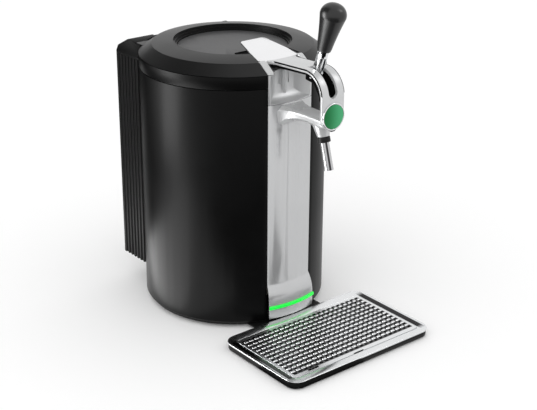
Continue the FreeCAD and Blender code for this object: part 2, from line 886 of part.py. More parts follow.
def housing_knuckle_spans():
    """X ranges of the housing's four knuckles: one each side of both lid knuckles."""
    inner, width, play = size("knuckle_inner"), size("knuckle_width"), size("knuckle_play")
    near, far = (inner - play - width, inner - play), (inner + width + play, inner + width * 2 + play)
    return [near, far, (-near[1], -near[0]), (-far[1], -far[0])]


def hinge_arm(name, x):
    """A knuckle that stands on the housing's back wall and holds the pin."""
    y, z, radius = out("hinge_y"), size("hinge_z"), size("knuckle_radius")
    back = out("box_back") - size("box_wall") / 2
    eye = rod(name + "_eye", radius, x[0], x[1], 0, y, z, "X")
    stem = pad(name + "_stem", "YZ", [
        (y - radius, z), (y - radius, z - radius * 1.4), (back, z - radius * 3.4), (back, z - radius * 2.2),
        (y + radius, z - radius), (y + radius, z),
    ], x[0], x[1])
    return fuse(name, eye, stem)


def rib_grooves():
    """Upright grooves along both side walls leave the ribs standing."""
    depth, groove, pitch = size("rib_depth"), size("rib_groove"), size("rib_pitch")
    half = out("box_half")
    start = out("box_back") - size("box_corner") - size("rib_margin")
    top = size("box_top") - size("top_bevel_height") - 3
    grooves = []
    for index in range(count("rib_count")):
        y = start - pitch * index
        for side_number, (low, high) in enumerate(((half - depth, half + 5), (-half - 5, -half + depth))):
            grooves.append(box("rib_groove_%d_%d" % (index, side_number), (low, high), (y - groove, y),
                               (size("box_bottom") - 1, top)))
    return grooves


def vent_cover():
    half, back, wall = size("cover_half") - seat, out("box_back"), size("box_wall")
    low, high = size("cover_low") + seat, size("cover_high") - seat
    plate = box("cover_plate", (-half, half), (back - wall, back), (low, high))
    pitch, tall_slot, wide = size("cover_slot_pitch"), size("cover_slot_height"), size("cover_slot_half")
    first = size("cooler_z") - pitch * (count("cover_slot_count") - 1) / 2
    slots = []
    for index in range(count("cover_slot_count")):
        z = first + pitch * index
        slots.append(box("cover_slot_%d" % index, (-wide, wide), (back - wall - 1, back + 1),
                         (z - tall_slot / 2, z + tall_slot / 2)))
    inset = size("screw_inset")
    holes, screws = [], []
    corners = [(-1, low + inset), (1, low + inset), (1, high - inset), (-1, high - inset)]
    for number, (side, end) in enumerate(corners):
        x = (half - inset) * side
        holes.append(rod("cover_screw_hole_%d" % number, size("screw_head") + seat, back - wall - 1, back + 1,
                         x, 0, end, "Y"))
        head = rod("screw_head_%d" % number, size("screw_head"), back - wall, back - 0.3, x, 0, end, "Y")
        shank = rod("screw_shank_%d" % number, size("screw_shank"), back - wall - size("screw_length"),
                    back - wall,
                    x, 0, end, "Y")
        screws.append(fuse("cover_screw_%d" % number, head, shank))
    node(cut("vent_cover", plate, *(slots + holes)), "vent_cover")
    node(group("cover_screws", *screws), "cover_screws")


def electrics():
    back = out("box_back")
    wall = out("box_half") - size("box_side_wall") - seat
    board = box("board_plate", (wall - size("board_thick"), wall), (out("board_front"), out("board_back")),
                (size("board_low"), size("board_high")))
    face, middle = wall - size("board_thick"), (out("board_front") + out("board_back")) / 2
    coil_half, chip_half = size("coil_half"), size("chip_half")
    coil = box("board_coil", (face - size("coil_reach"), face), (middle - coil_half, middle + coil_half),
               (size("coil_z") - coil_half, size("coil_z") + coil_half))
    can = rod("board_can", size("can_radius"), face - size("can_reach"), face, 0, middle, size("can_z"), "X")
    chip = box("board_chip", (face - size("chip_reach"), face), (middle - chip_half, middle + chip_half),
               (size("chip_z") - chip_half, size("chip_z") + chip_half))
    node(fuse("control_board", board, coil, can, chip), "control_board")

    x, z, depth, rim = -size("inlet_x"), size("inlet_z"), size("inlet_depth"), size("inlet_wall")
    half, tall_half = size("inlet_half") - seat, size("inlet_half_height") - seat
    shell = box("inlet_shell", (x - half, x + half), (back - depth, back), (z - tall_half, z + tall_half))
    recess = box("inlet_recess", (x - half + rim, x + half - rim), (back - depth + rim, back + 1),
                 (z - tall_half + rim, z + tall_half - rim))
    node(cut("power_inlet", shell, recess), "power_inlet")
    pins = []
    thick, spread = size("inlet_pin_half"), size("inlet_pin_spread")
    for number, offset in enumerate((-1, 1)):
        centre = x + spread * offset
        pins.append(box("inlet_pin_%d" % number, (centre - thick, centre + thick),
                        (back - depth + rim, back - 4),
                        (z - 2, z + 2)))
    node(group("inlet_pins", *pins), "inlet_pins")
    power_switch(back, z)


def power_switch(back, z):
    x = size("inlet_x")
    half, tall_half = size("switch_half") - seat, size("switch_half_height") - seat
    rocker, rocker_tall, depth = size("rocker_half"), size("rocker_half_height"), size("switch_depth")
    shell = box("switch_shell", (x - half, x + half), (back - depth, back), (z - tall_half, z + tall_half))
    hollow = box("switch_hollow", (x - rocker - seat, x + rocker + seat),
                 (back - depth + size("switch_wall"), back + 1),
                 (z - rocker_tall - seat, z + rocker_tall + seat))
    axle_y = back - size("rocker_inset")
    axle = rod("switch_axle", size("rocker_pin"), x - rocker - 1, x + rocker + 1, 0, axle_y, z, "X")
    node(fuse("switch_frame", cut("switch_housing", shell, hollow), axle), "switch_frame")
    face = pad("rocker_body", "YZ", [
        (-4, 0), (-4, -4), (1.2, -rocker_tall + 1.4), (3.4, -rocker_tall + 1.9), (2.6, 0),
        (4.6, rocker_tall - 2.4),
        (2.6, rocker_tall - 1.2), (-4, 4),
    ], -rocker, rocker)
    bore = rod("rocker_bore", size("rocker_pin") + running, -rocker, rocker, 0, 0, 0, "X")
    rocker_solid = cut("switch_rocker", face, bore)
    node(rocker_solid, "switch_rocker", x=x, y=axle_y, z=z)


# ---- tap ----

def strap_profile():
    """Side view of the bent strap: upper arm, round head and upright face."""
    y, z, outer, thick = -out("head_y"), size("head_z"), size("head_radius"), size("strap_thick")
    inner = outer - thick
    top, rear = size("arm_top_z"), size("arm_rear_z")
    foot = size("medallion_z") - size("tap_half") - 1
    seam = -out("arm_rear_radius") + 15
    return pad("strap_side", "YZ", [
        (seam, rear), (y, top), (y - outer, z, outer, 1), (y - outer, foot), (y - inner, foot),
        (y - inner, z), (y, z + inner, inner, -1), (seam, rear - thick),
    ], -size("tap_root_half") - 2, size("tap_root_half") + 2)


def strap_plan(name, inset):
    """Plan of the strap: straight sides that flare to the seam with the lid plate."""
    half, wide = size("tap_half") - inset, size("tap_root_half") - inset
    flare, rear, bend = out("arm_flare_start"), -out("arm_rear_radius") + 3.2, size("arm_flare_bend")
    low, high, front = size("medallion_z") - half * 2, tall, -out("head_y") - size("head_radius") * 2
    return pad(name, "XY", [
        (half, front), (half, -flare), (wide, rear, bend, -1), (wide, -flare / 2), (-wide, -flare / 2),
        (-wide, rear), (-half, -flare, bend, -1), (-half, front),
    ], low, high)


def strap_front():
    """Front view of the strap: it ends in a half circle under the medallion."""
    half, z = size("tap_half"), size("medallion_z")
    wide = size("tap_root_half") + 4
    return pad("strap_front", "XZ", [
        (-half, z), (0, z - half, half, 1), (half, z, half, 1), (half, z + half / 2), (wide, z + half / 2),
        (wide, tall), (-wide, tall), (-wide, z + half / 2), (-half, z + half / 2),
    ], -beyond, -barrel / 2)


def arm_section(body, distance, half, low, top, bevel):
    """One section of the lower arm, at a distance in front of the barrel."""
    sketch = body.newObject("Sketcher::SketchObject", "arm_section")
    face = [f for f in body.Origin.OriginFeatures if f.Role == "XZ_Plane"][0]
    sketch.AttachmentSupport = [(face, "")]
    sketch.MapMode = "FlatFace"
    sketch.setExpression("AttachmentOffset.Base.z", (barrel + distance).text)
    draw(sketch, [
        (-half + bevel, low), (half - bevel, low), (half, low + bevel), (half, top - bevel),
        (half - bevel, top),
        (-half + bevel, top), (-half, top - bevel), (-half, low + bevel),
    ])
    return sketch


def lower_arm():
    """The arm that flares out of the panel and carries the spout, lofted through bevelled sections."""
    half, root_half = size("lower_arm_half"), size("lower_arm_root_half")
    low, root_low = size("lower_arm_bottom"), size("lower_arm_root_bottom")
    top, bevel = size("lower_arm_top"), size("lower_arm_bevel")
    reach = out("head_y") + size("head_radius") - size("strap_thick") - seat - barrel
    wide, drop = root_half - half, low - root_low
    body = doc.addObject("PartDesign::Body", "lower_arm")
    sections = [
        arm_section(body, -size("lower_arm_sunk"), root_half, root_low, top + bevel * 0.6, bevel * 2),
        arm_section(body, size("lower_arm_flare") * 0.3, half + wide * 0.4, low - drop * 0.4,
                    top + bevel * 0.2,
                    bevel * 1.4),
        arm_section(body, size("lower_arm_flare"), half + wide * 0.06, low - drop * 0.06, top, bevel),
        arm_section(body, reach, half, low, top, bevel),
    ]
    loft = body.newObject("PartDesign::AdditiveLoft", "lower_arm_loft")
    loft.Profile = sections[0]
    loft.Sections = sections[1:]
    return body


def along_spout(name, radius, start, length, top_radius=None):
    """A rod or cone on the spout's own leaning axis, measured up from its mouth."""
    lean = size("spout_lean")
    kind = "Part::Cylinder" if top_radius is None else "Part::Cone"
    thing = doc.addObject(kind, name)
    if top_radius is None:
        bind(thing, Radius=radius, Height=length)
    else:
        bind(thing, Radius1=radius, Radius2=top_radius, Height=length)
    y, z = spout_point(start)
    move(thing, 0, y, z, Vector(1, 0, 0), -lean)
    return thing


def spout_point(distance):
    """A point of the spout's axis, as (y, z), at a distance up from the mouth."""
    lean = size("spout_lean")
    distance = sized(distance)
    return sine(lean) * distance - out("spout_y"), cosine(lean) * distance + size("spout_z")


def tap_frame():
    """The bent strap with its upright face and slot, and the arm that ends in the spout's cone."""
    strap = common("strap", strap_profile(), strap_plan("strap_plan", 0), strap_front())
    half, end = size("slot_half"), size("slot_end_z") + size("slot_half")
    seam = rod("tap_seam_cut", out("arm_rear_radius"), size("panel_top"), tall)
    slot = box("tap_slot", (-half, half), (-beyond, -out("slot_rear")), (end, tall))
    slot_end = rod("tap_slot_end", half, -beyond, -out("head_y") - size("head_radius") / 3, 0, 0, end, "Y")
    node(cut("tap_frame", strap, seam, slot, slot_end), "tap_frame")

    cone_start = size("spout_collar_start") + size("spout_collar_length")
    cone = along_spout("tap_cone", size("cone_low_radius"), cone_start, size("cone_length"),
                       size("cone_high_radius"))
    panel = rod("tap_panel_cut", barrel + seat, 0, tall)
    depth = size("spout_length") - size("spout_socket")
    socket = along_spout("tap_spout_socket", size("spout_radius") + seat, depth, size("spout_socket") + seat)
    line = along_spout("tap_line_bore", size("line_radius"), depth,
                       size("spout_socket") + size("line_depth"))
    bolts = bolt_rods("tap_bolt_hole", size("bolt_radius") + running, -out("bolt_reach"), -barrel / 2)
    solid = fuse("tap_arm_solid", lower_arm(), cone)
    node(cut("tap_arm", solid, panel, socket, line, *bolts), "tap_arm")


def under_strap(name, gap, half):
    """All that lies under the strap, a gap below it, down to the mouth of the lever's pocket."""
    y, z = -out("head_y"), size("head_z")
    inner = size("head_radius") - size("strap_thick") - gap
    rear, rear_z = -out("arm_rear_radius"), size("arm_rear_z") - size("strap_thick") - gap
    low = size("pocket_end_z")
    return pad(name, "YZ", [
        (rear, rear_z), (y, z + inner), (y - on_circle(inner, z - low), low, inner, 1), (rear, low),
    ], -half, half)


def pocket_outline(wall):
    """Side view of the lever's pocket: its floor and back, drawn in by the wall, and open upwards."""
    rear, knee, toe = -out("pocket_rear") - wall, -out("pocket_knee_y") - wall, -out("pocket_toe_y") - wall
    front, high, low = -out("head_y") - size("head_radius"), size("arm_top_z"), size("pocket_end_z") + wall
    return [
        (rear, high), (front, high), (front, low), (toe - size("pocket_toe_run"), low),
        (toe, size("pocket_toe_z") + wall), (knee, size("pocket_knee_z") + wall),
        (rear, size("pocket_rear_z") + wall),
    ]


def tap_liner():
    """The black lining under the strap, with the pocket that the lever's foot turns in."""
    half, wall, thick = size("slot_half"), size("pocket_wall"), size("liner_strip")
    wide = size("tap_root_half")
    room = under_strap("liner_room", seat, wide)
    strip = cut("liner_strip_side", room, under_strap("liner_strip_inside", thick + seat, wide * 2))
    lining = common("liner_strip", strip, strap_plan("liner_plan", size("liner_inset")))
    outer = half + size("ear_thick")
    pocket = common("liner_pocket", pad("liner_pocket_side", "YZ", pocket_outline(0), -outer, outer),
                    under_strap("liner_pocket_room", seat, wide))
    hollow = pad("liner_hollow", "YZ", pocket_outline(wall), -half, half)
    seam = rod("liner_seam_cut", out("arm_rear_radius") + seat, size("panel_top"), tall)
    pin = rod("liner_pin_bore", size("pivot_pin") + running, -wide, wide, 0, -out("pivot_y"),
              size("pivot_z"), "X")
    node(cut("tap_liner", fuse("liner_body", lining, pocket), hollow, seam, pin), "tap_liner")


def tap_fixings():
    half, front = size("bracket_half"), -out("bracket_front")
    back = front + size("bracket_thick")
    plate = box("bracket_plate", (-half, half), (front, back), (size("bracket_low"), size("panel_top") - 2))
    holes = bolt_rods("bracket_hole", size("bolt_radius") + seat, front - 1, back + 1)
    node(cut("tap_bracket", plate, *holes), "tap_bracket")
    shanks = bolt_rods("bolt_shank", size("bolt_radius"), -out("bolt_reach"), back)
    heads = bolt_rods("bolt_head", size("bolt_head"), back, back + 3.5)
    bolts = [fuse("tap_bolt_%d" % number, *pair) for number, pair in enumerate(zip(shanks, heads))]
    node(group("tap_bolts", *bolts), "tap_bolts")


def medallion():
    face = -out("head_y") - size("head_radius")
    radius, wall, z = size("medallion_radius"), size("medallion_wall"), size("medallion_z")
    front = face - size("medallion_proud")
    ring = rod("bezel_ring", radius, front, face, 0, 0, z, "Y")
    hole = rod("bezel_hole", radius - wall, front - 1, face + 1, 0, 0, z, "Y")
    node(cut("medallion_bezel", ring, hole), "medallion_bezel")
    lens_radius, crown = radius - wall - seat, size("lens_crown")
    depth = face - front
    bend = (lens_radius * lens_radius + crown * crown) / (crown * 2)
    lens = turned("medallion_lens", [(0, 0), (lens_radius, 0), (lens_radius, depth),
                                     (0, depth + crown, bend, 1)])
    node(lens, "medallion_lens", y=face, z=z, axis=Vector(1, 0, 0), angle=90)


def spout():
    tube = along_spout("spout_outer", size("spout_radius"), 0, size("spout_length"))
    bore = along_spout("spout_bore", size("spout_radius") - size("spout_wall"), -1, size("spout_length") + 2)
    node(cut("spout_tube", tube, bore), "spout_tube")
    start, length = size("spout_collar_start"), size("spout_collar_length") - seat
    ring = along_spout("collar_outer", size("spout_collar_radius"), start, length)
    hole = along_spout("collar_hole", size("spout_radius") + seat, start - 1, length + 2)
    node(cut("spout_collar", ring, hole), "spout_collar")


# ---- handle ----

def handle():
    y, z, lean = -out("pivot_y"), size("pivot_z"), size("handle_lean")
    upright = Vector(1, 0, 0)
    hub, half = size("hub_radius"), size("hub_half")
    eye = rod("lever_eye", hub, -half, half, 0, 0, 0, "X")
    neck = rod("lever_neck", size("neck_radius"), 0, size("neck_length"))
    cheek_top = size("neck_length") - size("ferrule_length") / 2
    cheeks = []
    for number, (near, far) in enumerate(((half - size("cheek_thick"), half),
                                          (-half, -half + size("cheek_thick")))):
        cheeks.append(pad("lever_cheek_%d" % number, "YZ", [
            (-hub, 0), (hub, 0), (hub * 0.62, cheek_top), (-hub * 0.62, cheek_top),
        ], near, far))
    ferrule = rod("lever_ferrule", size("ferrule_radius"), size("neck_length") - size("ferrule_length"),
                  size("neck_length"))
    spigot = rod("lever_spigot", size("grip_bore"), 0, size("neck_length") + size("grip_length") / 2)
    solid = fuse("lever_solid", eye, neck, ferrule, spigot, *cheeks)
    bore = rod("lever_bore", size("pivot_pin") + running, -half - 1, half + 1, 0, 0, 0, "X")
    node(cut("handle_lever", solid, bore), "handle_lever", y=y, z=z, axis=upright, angle=lean)

    low = size("neck_length") + seat
    length, small, big = size("grip_length"), size("grip_low_radius"), size("grip_high_radius")
    bore_radius, bore_top = size("grip_bore") + seat, size("neck_length") + size("grip_length") / 2 + seat
    shoulder, crown_radius, crown = low + length - size("grip_dome"), big * 0.4, size("grip_crown")
    crown_bend = (crown_radius * crown_radius + crown * crown) / (crown * 2)
    grip = turned("handle_grip", [
        (bore_radius, low), (small, low), (small + 0.6, low + 3), (big, shoulder, size("grip_bend"), -1),
        (crown_radius, low + length, big * 0.82, 1), (0, low + length + crown, crown_bend, 1), (0, bore_top),
        (bore_radius, bore_top),
    ])
    node(grip, "handle_grip", y=y, z=z, axis=upright, angle=lean)

    far = size("slot_half") + size("ear_thick")
    pin = rod("handle_pin", size("pivot_pin"), -far, far, 0, y, z, "X")
    node_pin(pin, "handle_pin", -far, y, z)


# ---- lid ----

def lid_outline(inside):
    """Half section of the lid: the crowned ring, its stepped well and the chamfer to the rim."""
    bottom, edge, edge_z = size("lid_bottom"), out("lid_edge_radius"), size("lid_edge_z")
    rim, rim_z = size("lid_rim_radius"), size("lid_rim_z")
    skin = size("lid_skin")
    corners = [
        (barrel, bottom), (edge, edge_z), (rim, rim_z, 260, 1), (rim, size("lid_step_z")),
        (size("lid_step_radius"), size("lid_step_z")), (size("lid_step_radius"), size("lid_step_z") - 3),
        (size("lid_pan_radius"), size("lid_step_z") - 3), (size("lid_pan_radius"), size("lid_pan_z")),
        (0, size("lid_pan_z")),
    ]
    if inside:
        corners += [
            (0, size("lid_pan_z") - skin), (rim, size("lid_pan_z") - skin), (rim + skin, rim_z - skin * 2),
            (edge - 1, edge_z - skin * 1.2), (barrel - skin, bottom),
        ]
    else:
        corners += [(0, bottom)]
    return corners


def plate_plan(name, grow, low, high):
    """Plan of the silver plate on the lid: wider at the front, where it ends in an arc."""
    rear_half, front_half = size("plate_rear_half") + grow, size("plate_front_half") + grow
    rear, front = -out("plate_rear_y") + grow, -out("plate_front_y")
    radius = out("plate_front_radius") + grow
    tip = -on_circle(radius, front_half)
    run, fall, turn = front_half - rear_half, rear - tip, size("plate_corner")
    side = root(run * run + fall * fall)
    bend = turn * (side + run) / fall
    near = (rear_half + turn * run / side, rear - turn * fall / side)
    return pad(name, "XY", [
        (-rear_half + turn, rear), (-near[0], near[1], bend, 1), (-front_half, tip),
        (front_half, tip, radius, 1),
        near, (rear_half - turn, rear, bend, 1),
    ], low, high)


def plate_slab(name, below, above):
    """The sloping slab that holds the plate, from below its underside to above its top."""
    rear, front = -out("plate_rear_y"), -out("plate_front_y")
    rear_z, front_z = size("plate_rear_z"), size("plate_front_z")
    slope = (rear_z - front_z) / (rear - front)
    start, end = front - 10, rear + 4
    top_start, top_end = rear_z + slope * (start - rear), rear_z + slope * (end - rear)
    return pad(name, "YZ", [
        (start, top_start - below), (end, top_end - below), (end, top_end + above),
        (start, top_start + above),
    ], -60, 60)


def lid():
    bottom = size("lid_bottom")
    skin = turned("lid_skin", lid_outline(True))
    solid = turned("lid_solid", lid_outline(False))
    bridge_half = size("bridge_half")
    bridge = common("lid_bridge", solid, box("lid_bridge_box", (-bridge_half, bridge_half),
                    (-out("channel_rear") - 2, -out("bridge_rear")), (bottom, tall)))
    block = size("rear_block_half")
    rear = common("lid_rear_block", solid, box("lid_rear_box", (-block, block),
                                               (out("lid_rear_block"), barrel * 1.1),
                  (bottom, bottom + size("lid_rear_height"))))
    wing = out("wing_half")
    wings = cut("lid_wings", box("lid_wing_box", (-wing, wing), (wing / 2, out("wing_back")),
                                 (bottom, size("box_top"))), rod("lid_wing_hollow", barrel - 4, 0, tall))
    thick = size("plate_thick")
    rest_half = size("rest_half")
    rest = cut("lid_rest", box("lid_rest_box", (-rest_half, rest_half),
                               (-out("channel_rear"), -out("rest_rear")),
                               (size("lid_pan_z") - 1, size("plate_rear_z"))),
               plate_slab("lid_rest_top", thick + seat, 40))
    knuckles = []
    inner_edge, width = size("knuckle_inner"), size("knuckle_width")
    y, z, radius = out("hinge_y"), size("hinge_z"), size("knuckle_radius")
    for number, x in enumerate(((inner_edge, inner_edge + width), (-inner_edge - width, -inner_edge))):
        eye = rod("lid_knuckle_eye_%d" % number, radius, x[0], x[1], 0, y, z, "X")
        stem = box("lid_knuckle_stem_%d" % number, x, (y - 6.5, y - 0.5), (z - 1, bottom + 1.6))
        knuckles += [eye, stem]
    body = fuse("lid_body", skin, bridge, rear, wings, rest, *knuckles)
    relief_half = size("lid_relief_half")
    relief = cut("lid_relief", box("lid_relief_box", (-relief_half, relief_half), (0, barrel * 1.1),
                                   (bottom - 1, bottom + size("lid_rear_height"))),
                 rod("lid_relief_keep", barrel - size("lid_relief_depth"), 0, tall))
    pocket = common("lid_plate_pocket", plate_plan("lid_pocket_plan", 0.6, 0, tall),
                    plate_slab("lid_pocket_slab", thick + seat, 40))
    notch = box("lid_notch", (-channel, channel), (-beyond, -out("channel_rear")), (0, tall))
    bore = rod("lid_hinge_bore", size("hinge_pin") + running, -60, 60, 0, y, z, "X")
    play = size("knuckle_play")
    hollows = [rod("lid_knuckle_hollow_%d" % number, size("knuckle_pocket"), x[0] - play / 2,
                   x[1] + play / 2,
                   0, y, z, "X") for number, x in enumerate(housing_knuckle_spans())]
    node(cut("lid_shell", body, pocket, notch, bore, relief, *hollows), "lid_shell")

    plate = common("lid_plate", plate_plan("plate_plan", 0, 0, tall), plate_slab("plate_slab", thick, 0))
    node(plate, "lid_plate")

    trims = []
    clear = channel - size("trim_width")
    trim_solid = turned("trim_solid", lid_outline(False))
    for number, x in enumerate(((clear, channel - seat), (-channel + seat, -clear))):
        trims.append(common("channel_trim_%d" % number, trim_solid,
                            box("channel_trim_box_%d" % number, x,
                                (-beyond, -out("channel_rear") - seat), (0, tall))))
    pocket_copy = common("trim_plate_pocket", plate_plan("trim_pocket_plan", 0.6, 0, tall),
                         plate_slab("trim_pocket_slab", thick + seat, 40))
    node(cut("channel_trims", group("channel_trim_pair", *trims), pocket_copy), "channel_trims")

    low = size("lid_pan_z") + seat
    disc_radius = size("lid_pan_radius") - seat
    crown = size("disc_crown")
    bend = (disc_radius * disc_radius + crown * crown) / (crown * 2)
    disc = turned("disc_solid", [
        (0, low), (disc_radius, low), (disc_radius, low + size("disc_thick")),
        (0, low + size("disc_thick") + crown, bend, 1),
    ])
    foot = box("disc_rest_gap", (-rest_half - seat, rest_half + seat),
               (-barrel, -out("rest_rear") + seat), (0, tall))
    node(cut("lid_disc", disc, foot), "lid_disc")
    lid_inner(bottom)


def lid_inner(bottom):
    low, thick = size("liner_low"), size("liner_thick")
    plug, plug_low = size("plug_radius"), size("plug_bottom")
    lid_floor = size("lid_pan_z") - size("lid_skin") - seat
    liner = turned("liner_body", [
        (0, plug_low), (plug, plug_low), (plug, low), (size("liner_flange"), low),
        (size("liner_flange"), low + thick),
        (plug - 3, low + thick), (plug - 3, lid_floor), (plug - 6, lid_floor), (plug - 6, plug_low + 3),
        (0, plug_low + 3),
    ])
    front_gap = box("liner_channel", (-channel, channel), (-beyond, -out("channel_rear") + 3), (0, tall))
    node(cut("lid_liner", liner, front_gap), "lid_liner")
    rest = size("shell_top") + size("shut_gap") + size("deck_thick") + size("well_wall")
    gasket = turned("lid_gasket", [
        (size("gasket_inner"), rest + seat), (size("gasket_outer"), rest + seat),
        (size("gasket_outer"), low),
        (size("gasket_inner"), low),
    ])
    node(gasket, "lid_gasket")


# ---- drip tray ----

def tray():
    half, back, front = size("tray_half"), -out("tray_back"), -out("tray_front")
    foot, ledge, corner = size("tray_foot"), size("tray_ledge_z"), size("tray_corner")
    inset, bowl = size("tray_inset"), size("bowl_inset")
    block = rounded("tray_block", (-half + inset, half - inset), (front + inset, back - inset),
                    (foot, ledge),
                    corner - inset)
    hollow = rounded("tray_hollow", (-half + bowl, half - bowl), (front + bowl, back - bowl),
                     (foot + size("tray_floor"), ledge), 6)
    tongue_top = size("foot_height") + size("tongue_thick") + seat
    tongue = size("tongue_half") + 0.6
    hump = box("tray_hump", (-tongue - 2, tongue + 2), (-out("tongue_front") - 3, back - inset - 2),
               (foot, tongue_top + 1.8))
    slot = box("tray_tongue_slot", (-tongue, tongue), (-out("tongue_front") - 1, 0), (0, tongue_top))
    body = cut("tray_body", fuse("tray_with_hump", cut("tray_bowl", block, hollow), hump), slot)
    node(body, "tray_body")

    feet = []
    corners = [(-1, front + 24), (1, front + 24), (1, back - 24), (-1, back - 24)]
    for number, (side, end) in enumerate(corners):
        feet.append(rod("tray_foot_%d" % number, size("tray_foot_radius"), 0, foot, (half - 24) * side, end))
    node(group("tray_feet", *feet), "tray_feet")

    top, width, bead = size("tray_rim_z"), size("rim_width"), size("rim_bead")
    frame = rounded("rim_block", (-half, half), (front, back), (ledge, top), corner)
    fall = size("rim_dish")
    dish = rounded("rim_dish_cut", (-half + width, half - width), (front + width, back - width),
                   (top - fall, top), corner - width + size("rim_corner"))
    dish.Tip.setExpression("TaperAngle", "atan(%s)" % ((width - bead) / fall).text)
    window = rounded("rim_window", (-half + width, half - width), (front + width, back - width),
                     (0, top + 1), corner - width + size("rim_corner"))
    node(cut("tray_rim", frame, dish, window), "tray_rim")
    drip_grille(front, back, half, ledge)


def drip_grille(front, back, half, ledge):
    """A plate with a square grid of slots, and a finger notch in its plain front strip."""
    gap = size("rim_width") + seat
    x, y = half - gap, (front + gap, back - gap)
    corner = size("tray_corner") - size("rim_width") + size("rim_corner") - seat
    thick, pitch = size("grille_thick"), size("grille_pitch")
    plate = rounded("grille_plate", (-x, x), y, (ledge, ledge + thick), corner)
    slot_x, slot_y = size("grille_slot_x"), size("grille_slot_y")
    rows, columns = count("grille_rows"), count("grille_columns")
    last = y[1] - size("grille_back_margin")
    slots = []
    for row in range(rows):
        centre_y = last - pitch * row
        for column in range(columns):
            centre_x = pitch * (column - (columns - 1) / 2)
            slots.append(box("grille_slot_%d_%d" % (row, column),
                             (centre_x - slot_x / 2, centre_x + slot_x / 2),
                             (centre_y - slot_y / 2, centre_y + slot_y / 2),
                             (ledge - seat, ledge + thick + seat)))
    notch = size("notch_half")
    slots.append(box("grille_notch", (-notch, notch), (y[0] - seat, y[0] + size("notch_depth")),
                     (ledge - seat, ledge + thick + seat)))
    node(cut("drip_grille", plate, group("grille_slots", *slots)), "drip_grille")


def check_and_export():
    doc.recompute()
    for thing in doc.Objects:
        if "Invalid" in thing.State or "Error" in thing.State:
            raise RuntimeError("%s failed: %s" % (thing.Label, thing.State))
    for thing in nodes:
        if thing.Shape.isNull() or not thing.Shape.isValid() or not thing.Shape.Solids:
            raise RuntimeError("%s has no valid shape" % thing.Label)
    os.makedirs("parts", exist_ok=True)
    for thing in nodes:
        thing.Shape.exportStep("parts/%s.step" % thing.Label)
        print("%-20s %d solid(s) %10.0f mm3" % (thing.Label, len(thing.Shape.Solids), thing.Shape.Volume))


base_plate()
barrel_shell()
front_panel()
light_strip()
tap_column()
collar_ring()
keg_well()
insulation_jacket()
cooling_unit()
fan()
rear_housing()
vent_cover()
electrics()
tap_frame()
tap_liner()
tap_fixings()
medallion()
spout()
handle()
lid()
tray()
check_and_export()
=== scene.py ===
import json
import math

import bmesh
import bpy
from mathutils import Matrix, Quaternion, Vector


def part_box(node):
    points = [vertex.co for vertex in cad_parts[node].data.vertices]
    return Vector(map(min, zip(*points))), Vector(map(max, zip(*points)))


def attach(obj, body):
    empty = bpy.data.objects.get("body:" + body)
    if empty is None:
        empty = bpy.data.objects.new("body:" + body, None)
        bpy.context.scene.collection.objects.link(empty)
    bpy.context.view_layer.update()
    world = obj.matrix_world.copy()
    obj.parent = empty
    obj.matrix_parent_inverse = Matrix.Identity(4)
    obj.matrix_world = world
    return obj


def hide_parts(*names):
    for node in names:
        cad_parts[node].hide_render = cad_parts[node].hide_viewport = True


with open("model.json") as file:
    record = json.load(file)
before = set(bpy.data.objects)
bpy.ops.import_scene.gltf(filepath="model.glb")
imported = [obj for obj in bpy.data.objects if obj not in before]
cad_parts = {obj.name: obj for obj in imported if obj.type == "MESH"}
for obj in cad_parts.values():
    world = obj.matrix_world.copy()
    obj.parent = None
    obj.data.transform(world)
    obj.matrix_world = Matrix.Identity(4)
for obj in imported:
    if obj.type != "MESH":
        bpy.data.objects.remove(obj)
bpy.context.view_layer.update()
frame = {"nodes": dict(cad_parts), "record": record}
cadNodes = frame["nodes"]
bpy.ops.object.select_all(action="DESELECT")
print("frame loaded")


# node trees

def addNode(tree, kind, **values):
    made = tree.nodes.new(kind)
    for name, value in values.items():
        setattr(made, name, value)
    return made


def newGroup(name, inputs, outputs):
    tree = bpy.data.node_groups.new(name, "ShaderNodeTree")
    for socketName, socketType, value in inputs:
        socket = tree.interface.new_socket(socketName, in_out="INPUT", socket_type=socketType)
        if value is not None:
            socket.default_value = value
    for socketName, socketType in outputs:
        tree.interface.new_socket(socketName, in_out="OUTPUT", socket_type=socketType)
    start = addNode(tree, "NodeGroupInput")
    end = addNode(tree, "NodeGroupOutput")
    return tree, start.outputs, end.inputs


def makeGrain():
    # fine spark texture of a moulded surface, with slow mottling under it
    tree, given, wanted = newGroup("mouldedGrain", [
        ("Vector", "NodeSocketVector", None), ("Grain Scale", "NodeSocketFloat", 900.0),
        ("Mottle Scale", "NodeSocketFloat", 14.0)],
        [("Height", "NodeSocketFloat"), ("Mottle", "NodeSocketFloat")])
    fine = addNode(tree, "ShaderNodeTexNoise")
    fine.inputs["Detail"].default_value = 3.0
    slow = addNode(tree, "ShaderNodeTexNoise")
    slow.inputs["Detail"].default_value = 4.0
    spread = addNode(tree, "ShaderNodeMapRange")
    spread.inputs["From Min"].default_value = 0.35
    spread.inputs["From Max"].default_value = 0.65
    tree.links.new(given["Vector"], fine.inputs["Vector"])
    tree.links.new(given["Vector"], slow.inputs["Vector"])
    tree.links.new(given["Grain Scale"], fine.inputs["Scale"])
    tree.links.new(given["Mottle Scale"], slow.inputs["Scale"])
    tree.links.new(slow.outputs["Fac"], spread.inputs["Value"])
    tree.links.new(fine.outputs["Fac"], wanted["Height"])
    tree.links.new(spread.outputs["Result"], wanted["Mottle"])
    return tree


